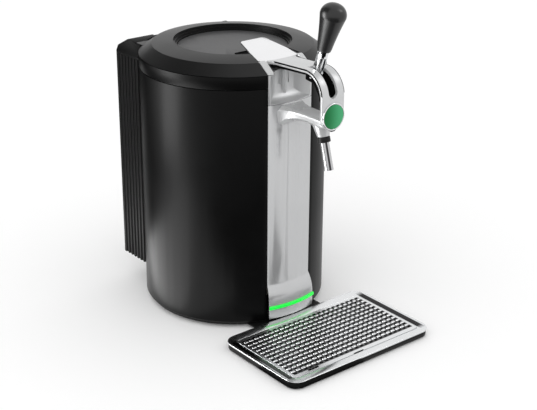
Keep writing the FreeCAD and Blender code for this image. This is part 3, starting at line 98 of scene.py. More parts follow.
def makeBrush():
    # long thin lines of a drawn or brushed metal; Stretch squeezes the pattern across the lines
    tree, given, wanted = newGroup("brushLines", [
        ("Vector", "NodeSocketVector", None), ("Stretch", "NodeSocketVector", (1.0, 1.0, 1.0)),
        ("Smudge Scale", "NodeSocketFloat", 9.0)],
        [("Height", "NodeSocketFloat"), ("Smudge", "NodeSocketFloat")])
    squeeze = addNode(tree, "ShaderNodeVectorMath", operation="MULTIPLY")
    lines = addNode(tree, "ShaderNodeTexNoise")
    lines.inputs["Scale"].default_value = 1.0
    lines.inputs["Detail"].default_value = 5.0
    smudge = addNode(tree, "ShaderNodeTexNoise")
    smudge.inputs["Detail"].default_value = 5.0
    spread = addNode(tree, "ShaderNodeMapRange")
    spread.inputs["From Min"].default_value = 0.38
    spread.inputs["From Max"].default_value = 0.66
    tree.links.new(given["Vector"], squeeze.inputs[0])
    tree.links.new(given["Stretch"], squeeze.inputs[1])
    tree.links.new(squeeze.outputs["Vector"], lines.inputs["Vector"])
    tree.links.new(given["Vector"], smudge.inputs["Vector"])
    tree.links.new(given["Smudge Scale"], smudge.inputs["Scale"])
    tree.links.new(smudge.outputs["Fac"], spread.inputs["Value"])
    tree.links.new(lines.outputs["Fac"], wanted["Height"])
    tree.links.new(spread.outputs["Result"], wanted["Smudge"])
    return tree


grainGroup = makeGrain()
brushGroup = makeBrush()


def newMaterial(name):
    material = bpy.data.materials.new(name)
    material.use_nodes = True
    tree = material.node_tree
    tree.nodes.clear()
    surface = addNode(tree, "ShaderNodeBsdfPrincipled")
    output = addNode(tree, "ShaderNodeOutputMaterial")
    tree.links.new(surface.outputs["BSDF"], output.inputs["Surface"])
    place = addNode(tree, "ShaderNodeTexCoord")
    centre = addNode(tree, "ShaderNodeMapping")
    tree.links.new(place.outputs["Object"], centre.inputs["Vector"])
    return material, tree, surface, centre.outputs["Vector"]


def between(tree, mask, low, high):
    # a value that the mask carries from low to high
    ramp = addNode(tree, "ShaderNodeMapRange")
    ramp.inputs["To Min"].default_value = low
    ramp.inputs["To Max"].default_value = high
    tree.links.new(mask, ramp.inputs["Value"])
    return ramp.outputs["Result"]


def twoTone(tree, mask, dark, light):
    mix = addNode(tree, "ShaderNodeMix", data_type="RGBA")
    mix.inputs[6].default_value = (*dark, 1.0)
    mix.inputs[7].default_value = (*light, 1.0)
    tree.links.new(mask, mix.inputs["Factor"])
    return mix.outputs[2]


def bumpFrom(tree, surface, height, depth):
    bump = addNode(tree, "ShaderNodeBump")
    bump.inputs["Strength"].default_value = 1.0
    bump.inputs["Distance"].default_value = depth
    tree.links.new(height, bump.inputs["Height"])
    tree.links.new(bump.outputs["Normal"], surface.inputs["Normal"])


# how far colour and roughness stray with a surface's mottling or smudges, as factors
plasticSpread = {"dark": 0.88, "light": 1.12, "smooth": 0.93, "rough": 1.07}
metalSpread = {"dark": 0.95, "smooth": 0.85, "rough": 1.2}
glowSpread = {"dark": 0.86, "grain": 500.0, "mottle": 30.0, "depth": 0.000006}


def varyRoughness(tree, mask, surface, roughness, spread):
    strayed = between(tree, mask, roughness * spread["smooth"], roughness * spread["rough"])
    tree.links.new(strayed, surface.inputs["Roughness"])


def mouldedPlastic(name, colour, roughness, specular, grain=900.0, depth=0.000012):
    material, tree, surface, vector = newMaterial(name)
    group = addNode(tree, "ShaderNodeGroup", node_tree=grainGroup)
    group.inputs["Grain Scale"].default_value = grain
    tree.links.new(vector, group.inputs["Vector"])
    mottle = group.outputs["Mottle"]
    dark = tuple(part * plasticSpread["dark"] for part in colour)
    light = tuple(part * plasticSpread["light"] for part in colour)
    tree.links.new(twoTone(tree, mottle, dark, light), surface.inputs["Base Color"])
    varyRoughness(tree, mottle, surface, roughness, plasticSpread)
    surface.inputs["Specular IOR Level"].default_value = specular
    bumpFrom(tree, surface, group.outputs["Height"], depth)
    return material


def workedMetal(name, colour, roughness, stretch, depth, metallic=1.0):
    material, tree, surface, vector = newMaterial(name)
    group = addNode(tree, "ShaderNodeGroup", node_tree=brushGroup)
    group.inputs["Stretch"].default_value = stretch
    tree.links.new(vector, group.inputs["Vector"])
    smudge = group.outputs["Smudge"]
    dark = tuple(part * metalSpread["dark"] for part in colour)
    tree.links.new(twoTone(tree, smudge, dark, colour), surface.inputs["Base Color"])
    varyRoughness(tree, smudge, surface, roughness, metalSpread)
    surface.inputs["Metallic"].default_value = metallic
    bumpFrom(tree, surface, group.outputs["Height"], depth)
    return material


def glowingPlastic(name, colour, glow, roughness=0.25):
    material, tree, surface, vector = newMaterial(name)
    group = addNode(tree, "ShaderNodeGroup", node_tree=grainGroup)
    group.inputs["Grain Scale"].default_value = glowSpread["grain"]
    group.inputs["Mottle Scale"].default_value = glowSpread["mottle"]
    tree.links.new(vector, group.inputs["Vector"])
    mottle = group.outputs["Mottle"]
    dark = tuple(part * glowSpread["dark"] for part in colour)
    shade = twoTone(tree, mottle, dark, colour)
    tree.links.new(shade, surface.inputs["Base Color"])
    tree.links.new(shade, surface.inputs["Emission Color"])
    surface.inputs["Emission Strength"].default_value = glow
    surface.inputs["Roughness"].default_value = roughness
    bumpFrom(tree, surface, group.outputs["Height"], glowSpread["depth"])
    return material


def grey(value):
    # a neutral grey with a touch of blue
    return (value, value, value * 1.02)


# the lens's colours: painted shade on its left side, painted light on its right
medallion = {
    "left": (0.0, 0.125, 0.028), "right": (0.05, 0.34, 0.145),
    "glow": 0.12, "roughness": 0.12, "specular": 0.25,
}

# one finish for each material slot of the record
finishes = {
    "barrel_black": mouldedPlastic("barrelPlastic", grey(0.0024), 0.36, 0.10),
    "base_black": mouldedPlastic("basePlastic", grey(0.006), 0.50, 0.16, 700.0, 0.00002),
    "collar_black": mouldedPlastic("collarPlastic", grey(0.0026), 0.36, 0.10),
    "lid_black": mouldedPlastic("lidPlastic", grey(0.006), 0.38, 0.28),
    "disc_grey": mouldedPlastic("discPlastic", grey(0.068), 0.44, 0.3, 800.0, 0.00001),
    "housing_black": mouldedPlastic("housingPlastic", grey(0.005), 0.5, 0.08, 600.0, 0.00003),
    "tray_black": mouldedPlastic("trayPlastic", grey(0.007), 0.45, 0.16, 700.0, 0.00002),
    "fan_black": mouldedPlastic("fanPlastic", grey(0.012), 0.5, 0.3, 600.0, 0.00002),
    "inlet_black": mouldedPlastic("inletPlastic", grey(0.01), 0.5, 0.3, 600.0, 0.00002),
    "switch_black": mouldedPlastic("switchPlastic", grey(0.008), 0.22, 0.4, 900.0, 0.000006),
    "spout_black": mouldedPlastic("spoutPlastic", grey(0.008), 0.4, 0.2, 700.0, 0.00002),
    # the liner's own black, also the black of the painted shade pieces under the plate and along the
    # strap
    "liner_black": mouldedPlastic("linerBlack", grey(0.004), 0.6, 0.01, 700.0, 0.00001),
    "grip_black": mouldedPlastic("gripPlastic", grey(0.014), 0.3, 0.45, 900.0, 0.000002),
    "liner_white": mouldedPlastic("linerPlastic", (0.62, 0.62, 0.60), 0.5, 0.4, 600.0, 0.00002),
    "foam": mouldedPlastic("foamBlock", (0.66, 0.63, 0.55), 0.9, 0.2, 260.0, 0.0003),
    "ceramic": mouldedPlastic("ceramicPlate", (0.75, 0.75, 0.72), 0.4, 0.5, 500.0, 0.00001),
    "board_green": mouldedPlastic("boardLacquer", (0.015, 0.11, 0.04), 0.3, 0.5, 300.0, 0.00002),
    "foot_rubber": mouldedPlastic("footRubber", grey(0.012), 0.85, 0.2, 400.0, 0.00006),
    "gasket_rubber": mouldedPlastic("gasketRubber", grey(0.02), 0.8, 0.2, 400.0, 0.00005),
    "panel_silver": workedMetal("panelSilver", (0.58, 0.585, 0.59), 0.2, (60.0, 60.0, 700.0),
                                0.0000005, 0.6),
    "niche_silver": workedMetal("nicheSilver", (0.60, 0.605, 0.61), 0.4, (60.0, 60.0, 700.0),
                                0.000001, 0.55),
    "tap_silver": workedMetal("tapSilver", (0.60, 0.605, 0.61), 0.3, (60.0, 400.0, 400.0),
                              0.000001, 0.3),
    "plate_chrome": workedMetal("plateChrome", (0.88, 0.88, 0.89), 0.14, (80.0, 500.0, 500.0), 0.000002),
    "rim_chrome": workedMetal("rimChrome", (0.78, 0.79, 0.8), 0.24, (80.0, 500.0, 500.0), 0.000002),
    "grille_chrome": workedMetal("grilleChrome", (0.8, 0.81, 0.82), 0.3, (80.0, 500.0, 500.0), 0.000002),
    "lever_chrome": workedMetal("leverChrome", (0.8, 0.81, 0.82), 0.1, (400.0, 400.0, 60.0), 0.000002),
    "medallion_rim": workedMetal("medallionRim", (0.8, 0.81, 0.82), 0.12, (300.0, 60.0, 300.0), 0.000002),
    "spout_steel": workedMetal("spoutSteel", (0.58, 0.58, 0.59), 0.22, (500.0, 500.0, 40.0), 0.000004),
    "screw_steel": workedMetal("screwSteel", (0.5, 0.5, 0.51), 0.35, (500.0, 60.0, 500.0), 0.00001),
    "pin_steel": workedMetal("pinSteel", (0.55, 0.55, 0.56), 0.28, (60.0, 600.0, 600.0), 0.000006),
    "cooler_metal": workedMetal("coolerMetal", (0.5, 0.51, 0.53), 0.4, (60.0, 600.0, 60.0), 0.00001),
    "well_liner": workedMetal("wellLiner", (0.62, 0.63, 0.64), 0.34, (60.0, 60.0, 600.0), 0.00001),
    "contact_metal": workedMetal("contactMetal", (0.72, 0.55, 0.24), 0.3, (300.0, 60.0, 300.0), 0.000006),
    "light_green": glowingPlastic("lightGreen", (0.0, 0.61, 0.04), 1.0),
    "medallion_green": glowingPlastic("medallionGreen", medallion["right"], medallion["glow"],
                                      medallion["roughness"]),
}


def surfaceOf(tree):
    return next(item for item in tree.nodes if item.type == "BSDF_PRINCIPLED")


def darkBands(slotName, dark, bands):
    # a worked metal turns dark where it lies inside every band; each band has an axis, the middle
    # it is measured from, how far to each side of that it runs, half its width and its soft edge
    tree = finishes[slotName].node_tree
    surface = surfaceOf(tree)
    bright = surface.inputs["Base Color"].links[0].from_socket
    place = addNode(tree, "ShaderNodeTexCoord")
    parts = addNode(tree, "ShaderNodeSeparateXYZ")
    tree.links.new(place.outputs["Object"], parts.inputs["Vector"])
    shown = None
    for axis, centre, offset, half, edge in bands:
        value = parts.outputs[axis]
        for step in (centre, offset):
            away = addNode(tree, "ShaderNodeMath", operation="SUBTRACT")
            away.inputs[1].default_value = step
            size = addNode(tree, "ShaderNodeMath", operation="ABSOLUTE")
            tree.links.new(value, away.inputs[0])
            tree.links.new(away.outputs["Value"], size.inputs[0])
            value = size.outputs["Value"]
        ramp = addNode(tree, "ShaderNodeMapRange")
        ramp.inputs["From Min"].default_value = half
        ramp.inputs["From Max"].default_value = half + edge
        tree.links.new(value, ramp.inputs["Value"])
        if shown is None:
            shown = ramp.outputs["Result"]
            continue
        most = addNode(tree, "ShaderNodeMath", operation="MAXIMUM")
        tree.links.new(shown, most.inputs[0])
        tree.links.new(ramp.outputs["Result"], most.inputs[1])
        shown = most.outputs["Value"]
    mix = addNode(tree, "ShaderNodeMix", data_type="RGBA")
    mix.inputs[6].default_value = (*dark, 1.0)
    tree.links.new(shown, mix.inputs["Factor"])
    tree.links.new(bright, mix.inputs[7])
    tree.links.new(mix.outputs[2], surface.inputs["Base Color"])


grilleLow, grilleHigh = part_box("drip_grille")
grilleMiddle = (grilleLow + grilleHigh) / 2
# painted shade: the grille's slotted field is painted darker than its frame and than what stands above
# it, in place of its open slots and the shade under them
grilleSlotShade = {"shade": 0.10, "halfLong": 0.1090, "halfDeep": 0.0565, "halfHigh": 0.00012,
               "fade": 0.0006, "fadeUp": 0.0001}
darkBands("grille_chrome", grey(grilleSlotShade["shade"]), (
    ("X", grilleMiddle.x, 0.0, grilleSlotShade["halfLong"], grilleSlotShade["fade"]),
    ("Y", grilleMiddle.y, 0.0, grilleSlotShade["halfDeep"], grilleSlotShade["fade"]),
    ("Z", grilleHigh.z, 0.0, grilleSlotShade["halfHigh"], grilleSlotShade["fadeUp"])))

rimLow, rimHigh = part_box("tray_rim")
rimMiddle = (rimLow + rimHigh) / 2
# a dark line along each short side of the rim
rimBand = {"shade": 0.03, "inset": 0.0085, "half": 0.0038, "edge": 0.0008, "ends": 0.018, "fade": 0.010}
darkBands("rim_chrome", grey(rimBand["shade"]), (
    ("X", rimMiddle.x, rimHigh.x - rimMiddle.x - rimBand["inset"], rimBand["half"], rimBand["edge"]),
    ("Y", rimMiddle.y, 0.0, rimHigh.y - rimMiddle.y - rimBand["ends"], rimBand["fade"])))

spoutLow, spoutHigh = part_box("spout_tube")
# painted reflection: one dark line painted down the whole spout
spoutReflectionBand = {"shade": 0.05, "across": -0.0021, "half": 0.0011, "edge": 0.0006, "fade": 0.001}
darkBands("spout_steel", grey(spoutReflectionBand["shade"]), (
    ("X", spoutReflectionBand["across"], 0.0, spoutReflectionBand["half"], spoutReflectionBand["edge"]),
    ("Z", spoutLow.z, 0.0, spoutHigh.z - spoutLow.z, spoutReflectionBand["fade"])))


def paintMedallionShade():
    # painted shade and light: the lens is painted darker towards its left side and lighter towards its
    # right, where the light falls
    low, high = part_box("medallion_lens")
    tree = finishes["medallion_green"].node_tree
    surface = surfaceOf(tree)
    place = addNode(tree, "ShaderNodeTexCoord")
    parts = addNode(tree, "ShaderNodeSeparateXYZ")
    ramp = addNode(tree, "ShaderNodeMapRange", interpolation_type="SMOOTHSTEP")
    ramp.inputs["From Min"].default_value = low.x
    ramp.inputs["From Max"].default_value = high.x
    tree.links.new(place.outputs["Object"], parts.inputs["Vector"])
    tree.links.new(parts.outputs["X"], ramp.inputs["Value"])
    shade = twoTone(tree, ramp.outputs["Result"], medallion["left"], medallion["right"])
    tree.links.new(shade, surface.inputs["Base Color"])
    tree.links.new(shade, surface.inputs["Emission Color"])
    surface.inputs["Specular IOR Level"].default_value = medallion["specular"]


paintMedallionShade()

for subpart in frame["record"]["subparts"]:
    cadMesh = cadNodes[subpart["node"]].data
    cadMesh.materials.clear()
    cadMesh.materials.append(finishes[subpart["material_slot"]])
print("finishes on the frame")

nodeSlot = {item["node"]: item["material_slot"] for item in frame["record"]["subparts"]}
nodeBody = {}
for body, nodeNames in frame["record"]["behaviour"]["bodies"].items():
    for nodeName in nodeNames:
        nodeBody[nodeName] = body


# pieces

meshLimits = {
    "joinDistance": 0.00002,
    "flatAngle": math.radians(0.6),      # faces closer to one plane than this are joined
    "smoothAngle": math.radians(34.0),   # edges less sharp than this are shaded smooth
    "roundFrom": math.radians(35.0),     # chosen edges less sharp than this aren't rounded
    "top": 0.9,                          # a face whose normal points up more than this is a top
}


def pickOnly(piece):
    bpy.ops.object.select_all(action="DESELECT")
    piece.select_set(True)
    bpy.context.view_layer.objects.active = piece


def useModifier(piece, kind, **values):
    modifier = piece.modifiers.new(kind.lower(), kind)
    for name, value in values.items():
        setattr(modifier, name, value)
    pickOnly(piece)
    bpy.ops.object.modifier_apply(modifier=modifier.name)


def finishPiece(piece, name, body, slotName, *nodes):
    piece.name = name
    piece.data.name = name
    piece.data.materials.clear()
    piece.data.materials.append(finishes[slotName])
    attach(piece, body)
    if nodes:
        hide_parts(*nodes)


def copyOfNode(nodeName):
    # a frame piece's own shape as a new object, its flat faces joined again
    source = cadNodes[nodeName]
    piece = source.copy()
    piece.data = source.data.copy()
    for key in list(piece.keys()):
        del piece[key]
    bpy.context.scene.collection.objects.link(piece)
    piece.parent = None
    piece.matrix_world = source.matrix_world.copy()
    pickOnly(piece)
    bpy.ops.object.transform_apply(location=True, rotation=True, scale=True)
    bpy.ops.object.mode_set(mode="EDIT")
    bpy.ops.mesh.select_all(action="SELECT")
    bpy.ops.mesh.remove_doubles(threshold=meshLimits["joinDistance"])
    bpy.ops.mesh.dissolve_limited(angle_limit=meshLimits["flatAngle"])
    bpy.ops.mesh.normals_make_consistent(inside=False)
    bpy.ops.object.mode_set(mode="OBJECT")
    return piece


def selectFaces(piece, wanted):
    # leaves the piece in edit mode with just the wanted faces selected
    pickOnly(piece)
    bpy.ops.object.mode_set(mode="EDIT")
    bpy.ops.mesh.select_mode(type="FACE")
    bpy.ops.mesh.select_all(action="DESELECT")
    bpy.ops.object.mode_set(mode="OBJECT")
    for face in piece.data.polygons:
        face.select = wanted(face)
    bpy.ops.object.mode_set(mode="EDIT")


def newBlock(size):
    bpy.ops.mesh.primitive_cube_add(size=1.0, location=(0.0, 0.0, 0.0))
    block = bpy.context.active_object
    block.scale = size
    bpy.ops.object.transform_apply(location=True, rotation=True, scale=True)
    return block


def roundEdges(piece, width, segments, sharp):
    useModifier(piece, "BEVEL", width=width, segments=segments, limit_method="ANGLE",
                angle_limit=math.radians(sharp), use_clamp_overlap=False, harden_normals=False,
                miter_outer="MITER_ARC")
    pickOnly(piece)
    bpy.ops.object.shade_smooth_by_angle(angle=meshLimits["smoothAngle"])


def middleOf(edge):
    return (edge.verts[0].co + edge.verts[1].co) / 2


def roundChosen(piece, width, segments, chosen):
    # rounds only the edges that the rule picks by their middle and the two faces that meet there
    shape = bmesh.new()
    shape.from_mesh(piece.data)
    weights = shape.edges.layers.float.new("bevel_weight_edge")
    for edge in shape.edges:
        if len(edge.link_faces) != 2 or edge.calc_face_angle(0.0) < meshLimits["roundFrom"]:
            continue
        edge[weights] = chosen(middleOf(edge), edge.link_faces[0].normal, edge.link_faces[1].normal)
    shape.to_mesh(piece.data)
    shape.free()
    useModifier(piece, "BEVEL", width=width, segments=segments, limit_method="WEIGHT",
                use_clamp_overlap=False)
    pickOnly(piece)
    bpy.ops.object.shade_smooth_by_angle(angle=meshLimits["smoothAngle"])


# rounded edges of the moulded and pressed pieces: width, segments and the sharpness where it starts
softEdges = {
    "tap_arm": (0.0008, 2, 40.0),
    "tap_liner": (0.0003, 1, 40.0),
    "lid_plate": (0.0007, 2, 40.0),
    "channel_trims": (0.0006, 2, 30.0),
    "front_panel": (0.0006, 2, 40.0),
    "tap_column": (0.0006, 2, 40.0),
    "rear_housing": (0.0008, 2, 30.0),
    "vent_cover": (0.0004, 1, 40.0),
    "tray_body": (0.0012, 2, 40.0),
    "tray_rim": (0.0005, 2, 40.0),
    "barrel_shell": (0.0006, 2, 50.0),
    "collar_ring": (0.0006, 2, 50.0),
    "base_plate": (0.0008, 2, 50.0),
    "medallion_bezel": (0.0004, 2, 50.0),
    "spout_collar": (0.0005, 2, 50.0),
    "handle_lever": (0.0003, 1, 40.0),
    "light_strip": (0.0004, 2, 50.0),
    "power_inlet": (0.0005, 2, 40.0),
    "switch_frame": (0.0005, 2, 40.0),
    "switch_rocker": (0.0005, 2, 40.0),
    "lid_disc": (0.0006, 2, 50.0),
}


def holdInside(piece, nodeName):
    # a rounded corner never reaches past the frame piece that it dresses
    low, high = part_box(nodeName)
    for vertex in piece.data.vertices:
        for axis in range(3):
            vertex.co[axis] = min(max(vertex.co[axis], low[axis]), high[axis])


def dressNodes():
    for nodeName, (width, segments, sharp) in softEdges.items():
        piece = copyOfNode(nodeName)
        roundEdges(piece, width, segments, sharp)
        holdInside(piece, nodeName)
        words = nodeName.split("_")
        name = words[0] + "".join(word.capitalize() for word in words[1:])
        finishPiece(piece, name, nodeBody[nodeName], nodeSlot[nodeName], nodeName)


dressNodes()
print("edges rounded")

strap = {
    "round": 0.0013,       # radius on the outer side edges
    "small": 0.4,          # share of that radius on every other edge
    "segments": 3,
    "outerFrom": 0.012,    # what lies farther from the middle belongs to the strap's outer sides
    "sideways": 0.5,       # least sideways share of a side face's normal
    "flatSide": 0.95,      # the same where only the flat sides are wanted
    "outward": 0.2,        # least share of a normal that points up or forward
    "shadeSkin": 0.00015,
    "shadeLine": 0.0022,
    "shadeFrom": 0.360,    # height where the black skin of painted shade starts
}


def buildStrap():
    # the bent strap: its outer side edges roll over, the edges of its slot and underside are
    # rounded less
    piece = copyOfNode("tap_frame")

    def weight(middle, first, second):
        side, other = (first, second) if abs(first.x) > abs(second.x) else (second, first)
        outward = other.z > strap["outward"] or other.y < -strap["outward"]
        outer = abs(middle.x) > strap["outerFrom"] and abs(side.x) > strap["sideways"]
        if outer and outward and side.x * middle.x > 0:
            return 1.0
        return strap["small"]

    roundChosen(piece, strap["round"], strap["segments"], weight)
    finishPiece(piece, "tapStrap", "housing", "tap_silver", "tap_frame")


def buildStrapShadeSkin():
    # painted shade: a black skin along the outer line of the strap's left and right sides, where their
    # side faces lie in shade
    piece = copyOfNode("tap_frame")
    selectFaces(piece, lambda face: (abs(face.normal.x) < strap["flatSide"]
                                     or abs(face.center.x) < strap["outerFrom"]))
    bpy.ops.mesh.delete(type="FACE")
    bpy.ops.mesh.select_all(action="SELECT")
    bpy.ops.mesh.bisect(plane_co=(0.0, 0.0, strap["shadeFrom"]), plane_no=(0.0, 0.0, 1.0),
                        clear_inner=True)
    bpy.ops.mesh.select_all(action="SELECT")
    bpy.ops.mesh.inset(thickness=strap["shadeLine"], depth=0.0, use_boundary=True)
    bpy.ops.object.mode_set(mode="OBJECT")
    # only the faces whose open edge lies on the strap's upper and front side stay
    shape = bmesh.new()
    shape.from_mesh(piece.data)
    outside = Vector((0.0, -1.0, 1.0))
    spare = []
    for face in shape.faces:
        middle = face.calc_center_median()
        rims = [middleOf(edge) - middle for edge in face.edges if edge.is_boundary]
        if not any(reach.dot(outside) > 0.0 for reach in rims):
            spare.append(face)
    bmesh.ops.delete(shape, geom=spare, context="FACES")
    shape.to_mesh(piece.data)
    shape.free()
    useModifier(piece, "SOLIDIFY", thickness=strap["shadeSkin"], offset=1.0)
    finishPiece(piece, "strapPaintedShade", "housing", "liner_black")


buildStrapShadeSkin()
buildStrap()
print("strap rolled")

ferrule = {
    "top": 0.0070, "bottom": 0.0066, "long": 0.0105,
    "sides": 48, "edge": 0.0008, "edgeAngle": 40.0, "segments": 3,
    "gap": 0.0002,       # between the ferrule and the grip
    "footDepth": 0.002,  # the two stretches of the grip whose middles give its axis
    "headDepth": 0.012,
    "rounds": 3,         # how often the axis is worked out anew
}


def buildFerrule():
    # between the grip and the lever's fork, on the grip's own slanted axis
    points = [vertex.co.copy() for vertex in cadNodes["handle_grip"].data.vertices]
    axis = Vector((0.0, 0.0, 1.0))
    for step in range(ferrule["rounds"]):
        along = [point.dot(axis) for point in points]
        footEnd = min(along) + ferrule["footDepth"]
        headStart = max(along) - ferrule["headDepth"]
        foot = [point for point, place in zip(points, along) if place < footEnd]
        head = [point for point, place in zip(points, along) if place > headStart]
        footMiddle = sum(foot, Vector()) / len(foot)
        axis = (sum(head, Vector()) / len(head) - footMiddle).normalized()
    bottom = min(point.dot(axis) for point in points)
    footMiddle += axis * (bottom - footMiddle.dot(axis))
    bpy.ops.mesh.primitive_cone_add(vertices=ferrule["sides"], radius1=ferrule["bottom"],
                                    radius2=ferrule["top"], depth=ferrule["long"],
                                    location=(0.0, 0.0, 0.0))
    piece = bpy.context.active_object
    roundEdges(piece, ferrule["edge"], ferrule["segments"], ferrule["edgeAngle"])
    piece.data.transform(axis.to_track_quat("Z", "Y").to_matrix().to_4x4())
    drop = ferrule["long"] / 2 + ferrule["gap"]
    piece.data.transform(Matrix.Translation(footMiddle - axis * drop))
    finishPiece(piece, "leverFerrule", "handle", "medallion_rim")


buildFerrule()
print("ferrule set")

plateShadow = {
    "half": 0.0290, "rear": 0.0240, "thick": 0.0014, "behind": 0.0015,
    "border": 0.0015, "slope": 0.0010, "sunk": 0.0009,
    "edge": 0.0004, "edgeAngle": 30.0, "segments": 2,
    "seat": 0.0002,      # how far it is let into the disc
}


def buildPlateShadow():
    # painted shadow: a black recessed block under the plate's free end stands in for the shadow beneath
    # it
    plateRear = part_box("lid_plate")[1].y
    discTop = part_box("lid_disc")[1].z
    shadowBlock = newBlock((plateShadow["half"] * 2, plateShadow["rear"], plateShadow["thick"]))
    selectFaces(shadowBlock, lambda face: face.normal.z > meshLimits["top"])
    bpy.ops.mesh.inset(thickness=plateShadow["border"], depth=0.0)
    bpy.ops.mesh.inset(thickness=plateShadow["slope"], depth=-plateShadow["sunk"])
    bpy.ops.object.mode_set(mode="OBJECT")
    roundEdges(shadowBlock, plateShadow["edge"], plateShadow["segments"], plateShadow["edgeAngle"])
    shadowBlock.data.transform(Matrix.Translation((0.0, plateRear + plateShadow["behind"] - plateShadow["rear"] / 2,
                                           discTop - plateShadow["seat"] + plateShadow["thick"] / 2)))
    finishPiece(shadowBlock, "plateShadowBlock", "lid", "liner_black")


buildPlateShadow()
print("finger recess placed")

grille = {
    "columns": 24, "rows": 12, "pitch": 0.00916,
    "margin": 0.0073,    # from the grille's rear edge to its first row of slots
    "long": 0.0064, "deep": 0.0040, "high": 0.0009, "corner": 0.0008, "segments": 2,
    "seat": 0.0001,      # how far each dash is let into the grille
    "smoothAngle": 50.0,
}


def buildGrilleDashes():
    # one pressed-up dash between each two rows of slots
    low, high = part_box("drip_grille")
    middle = (low.x + high.x) / 2
    first = high.y - grille["margin"] - grille["pitch"] / 2
    dash = newBlock((grille["long"], grille["deep"], grille["high"] * 2.0))
    useModifier(dash, "BEVEL", width=grille["corner"], segments=grille["segments"], limit_method="NONE")
    bpy.ops.object.mode_set(mode="EDIT")
    bpy.ops.mesh.select_all(action="SELECT")
    bpy.ops.mesh.bisect(plane_co=(0.0, 0.0, 0.0), plane_no=(0.0, 0.0, 1.0), clear_inner=True,
                        use_fill=True)
    bpy.ops.mesh.select_all(action="SELECT")
    bpy.ops.mesh.normals_make_consistent(inside=False)
    bpy.ops.object.mode_set(mode="OBJECT")
    startX = middle - grille["pitch"] * (grille["columns"] - 1) / 2
    dash.data.transform(Matrix.Translation((startX, first, high.z - grille["seat"])))
    repeats = (
        (grille["columns"], (grille["pitch"], 0.0, 0.0)),
        (grille["rows"], (0.0, -grille["pitch"], 0.0)),
    )
    for count, step in repeats:
        useModifier(dash, "ARRAY", count=count, use_relative_offset=False, use_constant_offset=True,
                    constant_offset_displace=step)
    pickOnly(dash)
    bpy.ops.object.shade_smooth_by_angle(angle=math.radians(grille["smoothAngle"]))
    finishPiece(dash, "grilleDashes", "grille", "grille_chrome")


buildGrilleDashes()

fingerSlot = {
    "across": -0.078, "fromFront": 0.0052, "long": 0.018, "deep": 0.0024, "thick": 0.0009,
    "edge": 0.0002, "edgeAngle": 40.0, "segments": 2,
    "border": 0.2,       # shares of its depth
    "slope": 0.1,
    "dished": 0.15,      # shares of its thickness
    "raised": 0.1,
}


def buildFingerSlot():
    # the slot in the grille's front strip, where a fingertip lifts it
    slot = newBlock((fingerSlot["long"], fingerSlot["deep"], fingerSlot["thick"]))
    selectFaces(slot, lambda face: face.normal.z > meshLimits["top"])
    bpy.ops.mesh.inset(thickness=fingerSlot["deep"] * fingerSlot["border"], depth=0.0)
    bpy.ops.mesh.inset(thickness=fingerSlot["deep"] * fingerSlot["slope"],
                       depth=-fingerSlot["thick"] * fingerSlot["dished"])
    bpy.ops.object.mode_set(mode="OBJECT")
    roundEdges(slot, fingerSlot["edge"], fingerSlot["segments"], fingerSlot["edgeAngle"])
    slot.data.transform(Matrix.Translation((fingerSlot["across"], grilleLow.y + fingerSlot["fromFront"],
                                            grilleHigh.z + fingerSlot["thick"] * fingerSlot["raised"])))
    finishPiece(slot, "grilleFingerSlot", "grille", "liner_black")


buildFingerSlot()
print("grille pressed")


# stage

cameraSpot = {
    "eye": (-1.01862, -1.26718, 0.84028),
    "aim": (-0.00347, -0.01184, 0.16494),
    "roll": 0.322,     # degrees
    "lens": 82.18,     # millimetres, like the sensor
    "sensor": 36.0,
    "near": 0.05,
    "far": 60.0,
}
stageSet = {
    "floorSize": 12.0,
    "floorDrop": 0.0004,       # keeps the floor clear of the feet
    "floorShade": 0.95,
    "floorGlow": 0.055,        # added to the floor where the camera sees it
    "floorMirrored": 0.92,     # how bright the floor looks in the piece's reflections
    "ambient": 1.0,
    "cardShade": 0.004,
}
# each lamp: where it stands, what it faces, width, height, how bright its face is, and whether it
# lights surfaces or is only mirrored in them
lamps = {
    "leftStrip": ((-0.74, 0.36, 0.42), (0.0, 0.0746, 0.2), 0.36, 0.6, 10.0, "mirrored"),
    "rightSoft": ((0.85, -0.65, 1.35), (0.0, -0.1, 0.33), 0.5, 0.5, 3.0, "mirrored"),
    "keySoft": ((-1.2, -0.5, 1.9), (0.0, 0.0, 0.15), 1.3, 1.3, 0.8, "lights"),
}


def showsBackdrop(tree):
    # 1 for what looks at the backdrop directly, in a mirror or through glass
    path = addNode(tree, "ShaderNodeLightPath")
    first = addNode(tree, "ShaderNodeMath", operation="MAXIMUM")
    second = addNode(tree, "ShaderNodeMath", operation="MAXIMUM")
    tree.links.new(path.outputs["Is Camera Ray"], first.inputs[0])
    tree.links.new(path.outputs["Is Glossy Ray"], first.inputs[1])
    tree.links.new(first.outputs["Value"], second.inputs[0])
    tree.links.new(path.outputs["Is Transmission Ray"], second.inputs[1])
    return second.outputs["Value"]


def buildWorld():
    world = bpy.data.worlds.new("studioWorld")
    bpy.context.scene.world = world
    world.use_nodes = True
    tree = world.node_tree
    tree.nodes.clear()
    seen = addNode(tree, "ShaderNodeBackground")
    seen.inputs["Color"].default_value = (1.0, 1.0, 1.0, 1.0)
    lighting = addNode(tree, "ShaderNodeBackground")
    lighting.inputs["Color"].default_value = (1.0, 1.0, 1.0, 1.0)
    lighting.inputs["Strength"].default_value = stageSet["ambient"]
    pick = addNode(tree, "ShaderNodeMixShader")
    output = addNode(tree, "ShaderNodeOutputWorld")
    tree.links.new(showsBackdrop(tree), pick.inputs["Fac"])
    tree.links.new(lighting.outputs["Background"], pick.inputs[1])
    tree.links.new(seen.outputs["Background"], pick.inputs[2])
    tree.links.new(pick.outputs["Shader"], output.inputs["Surface"])


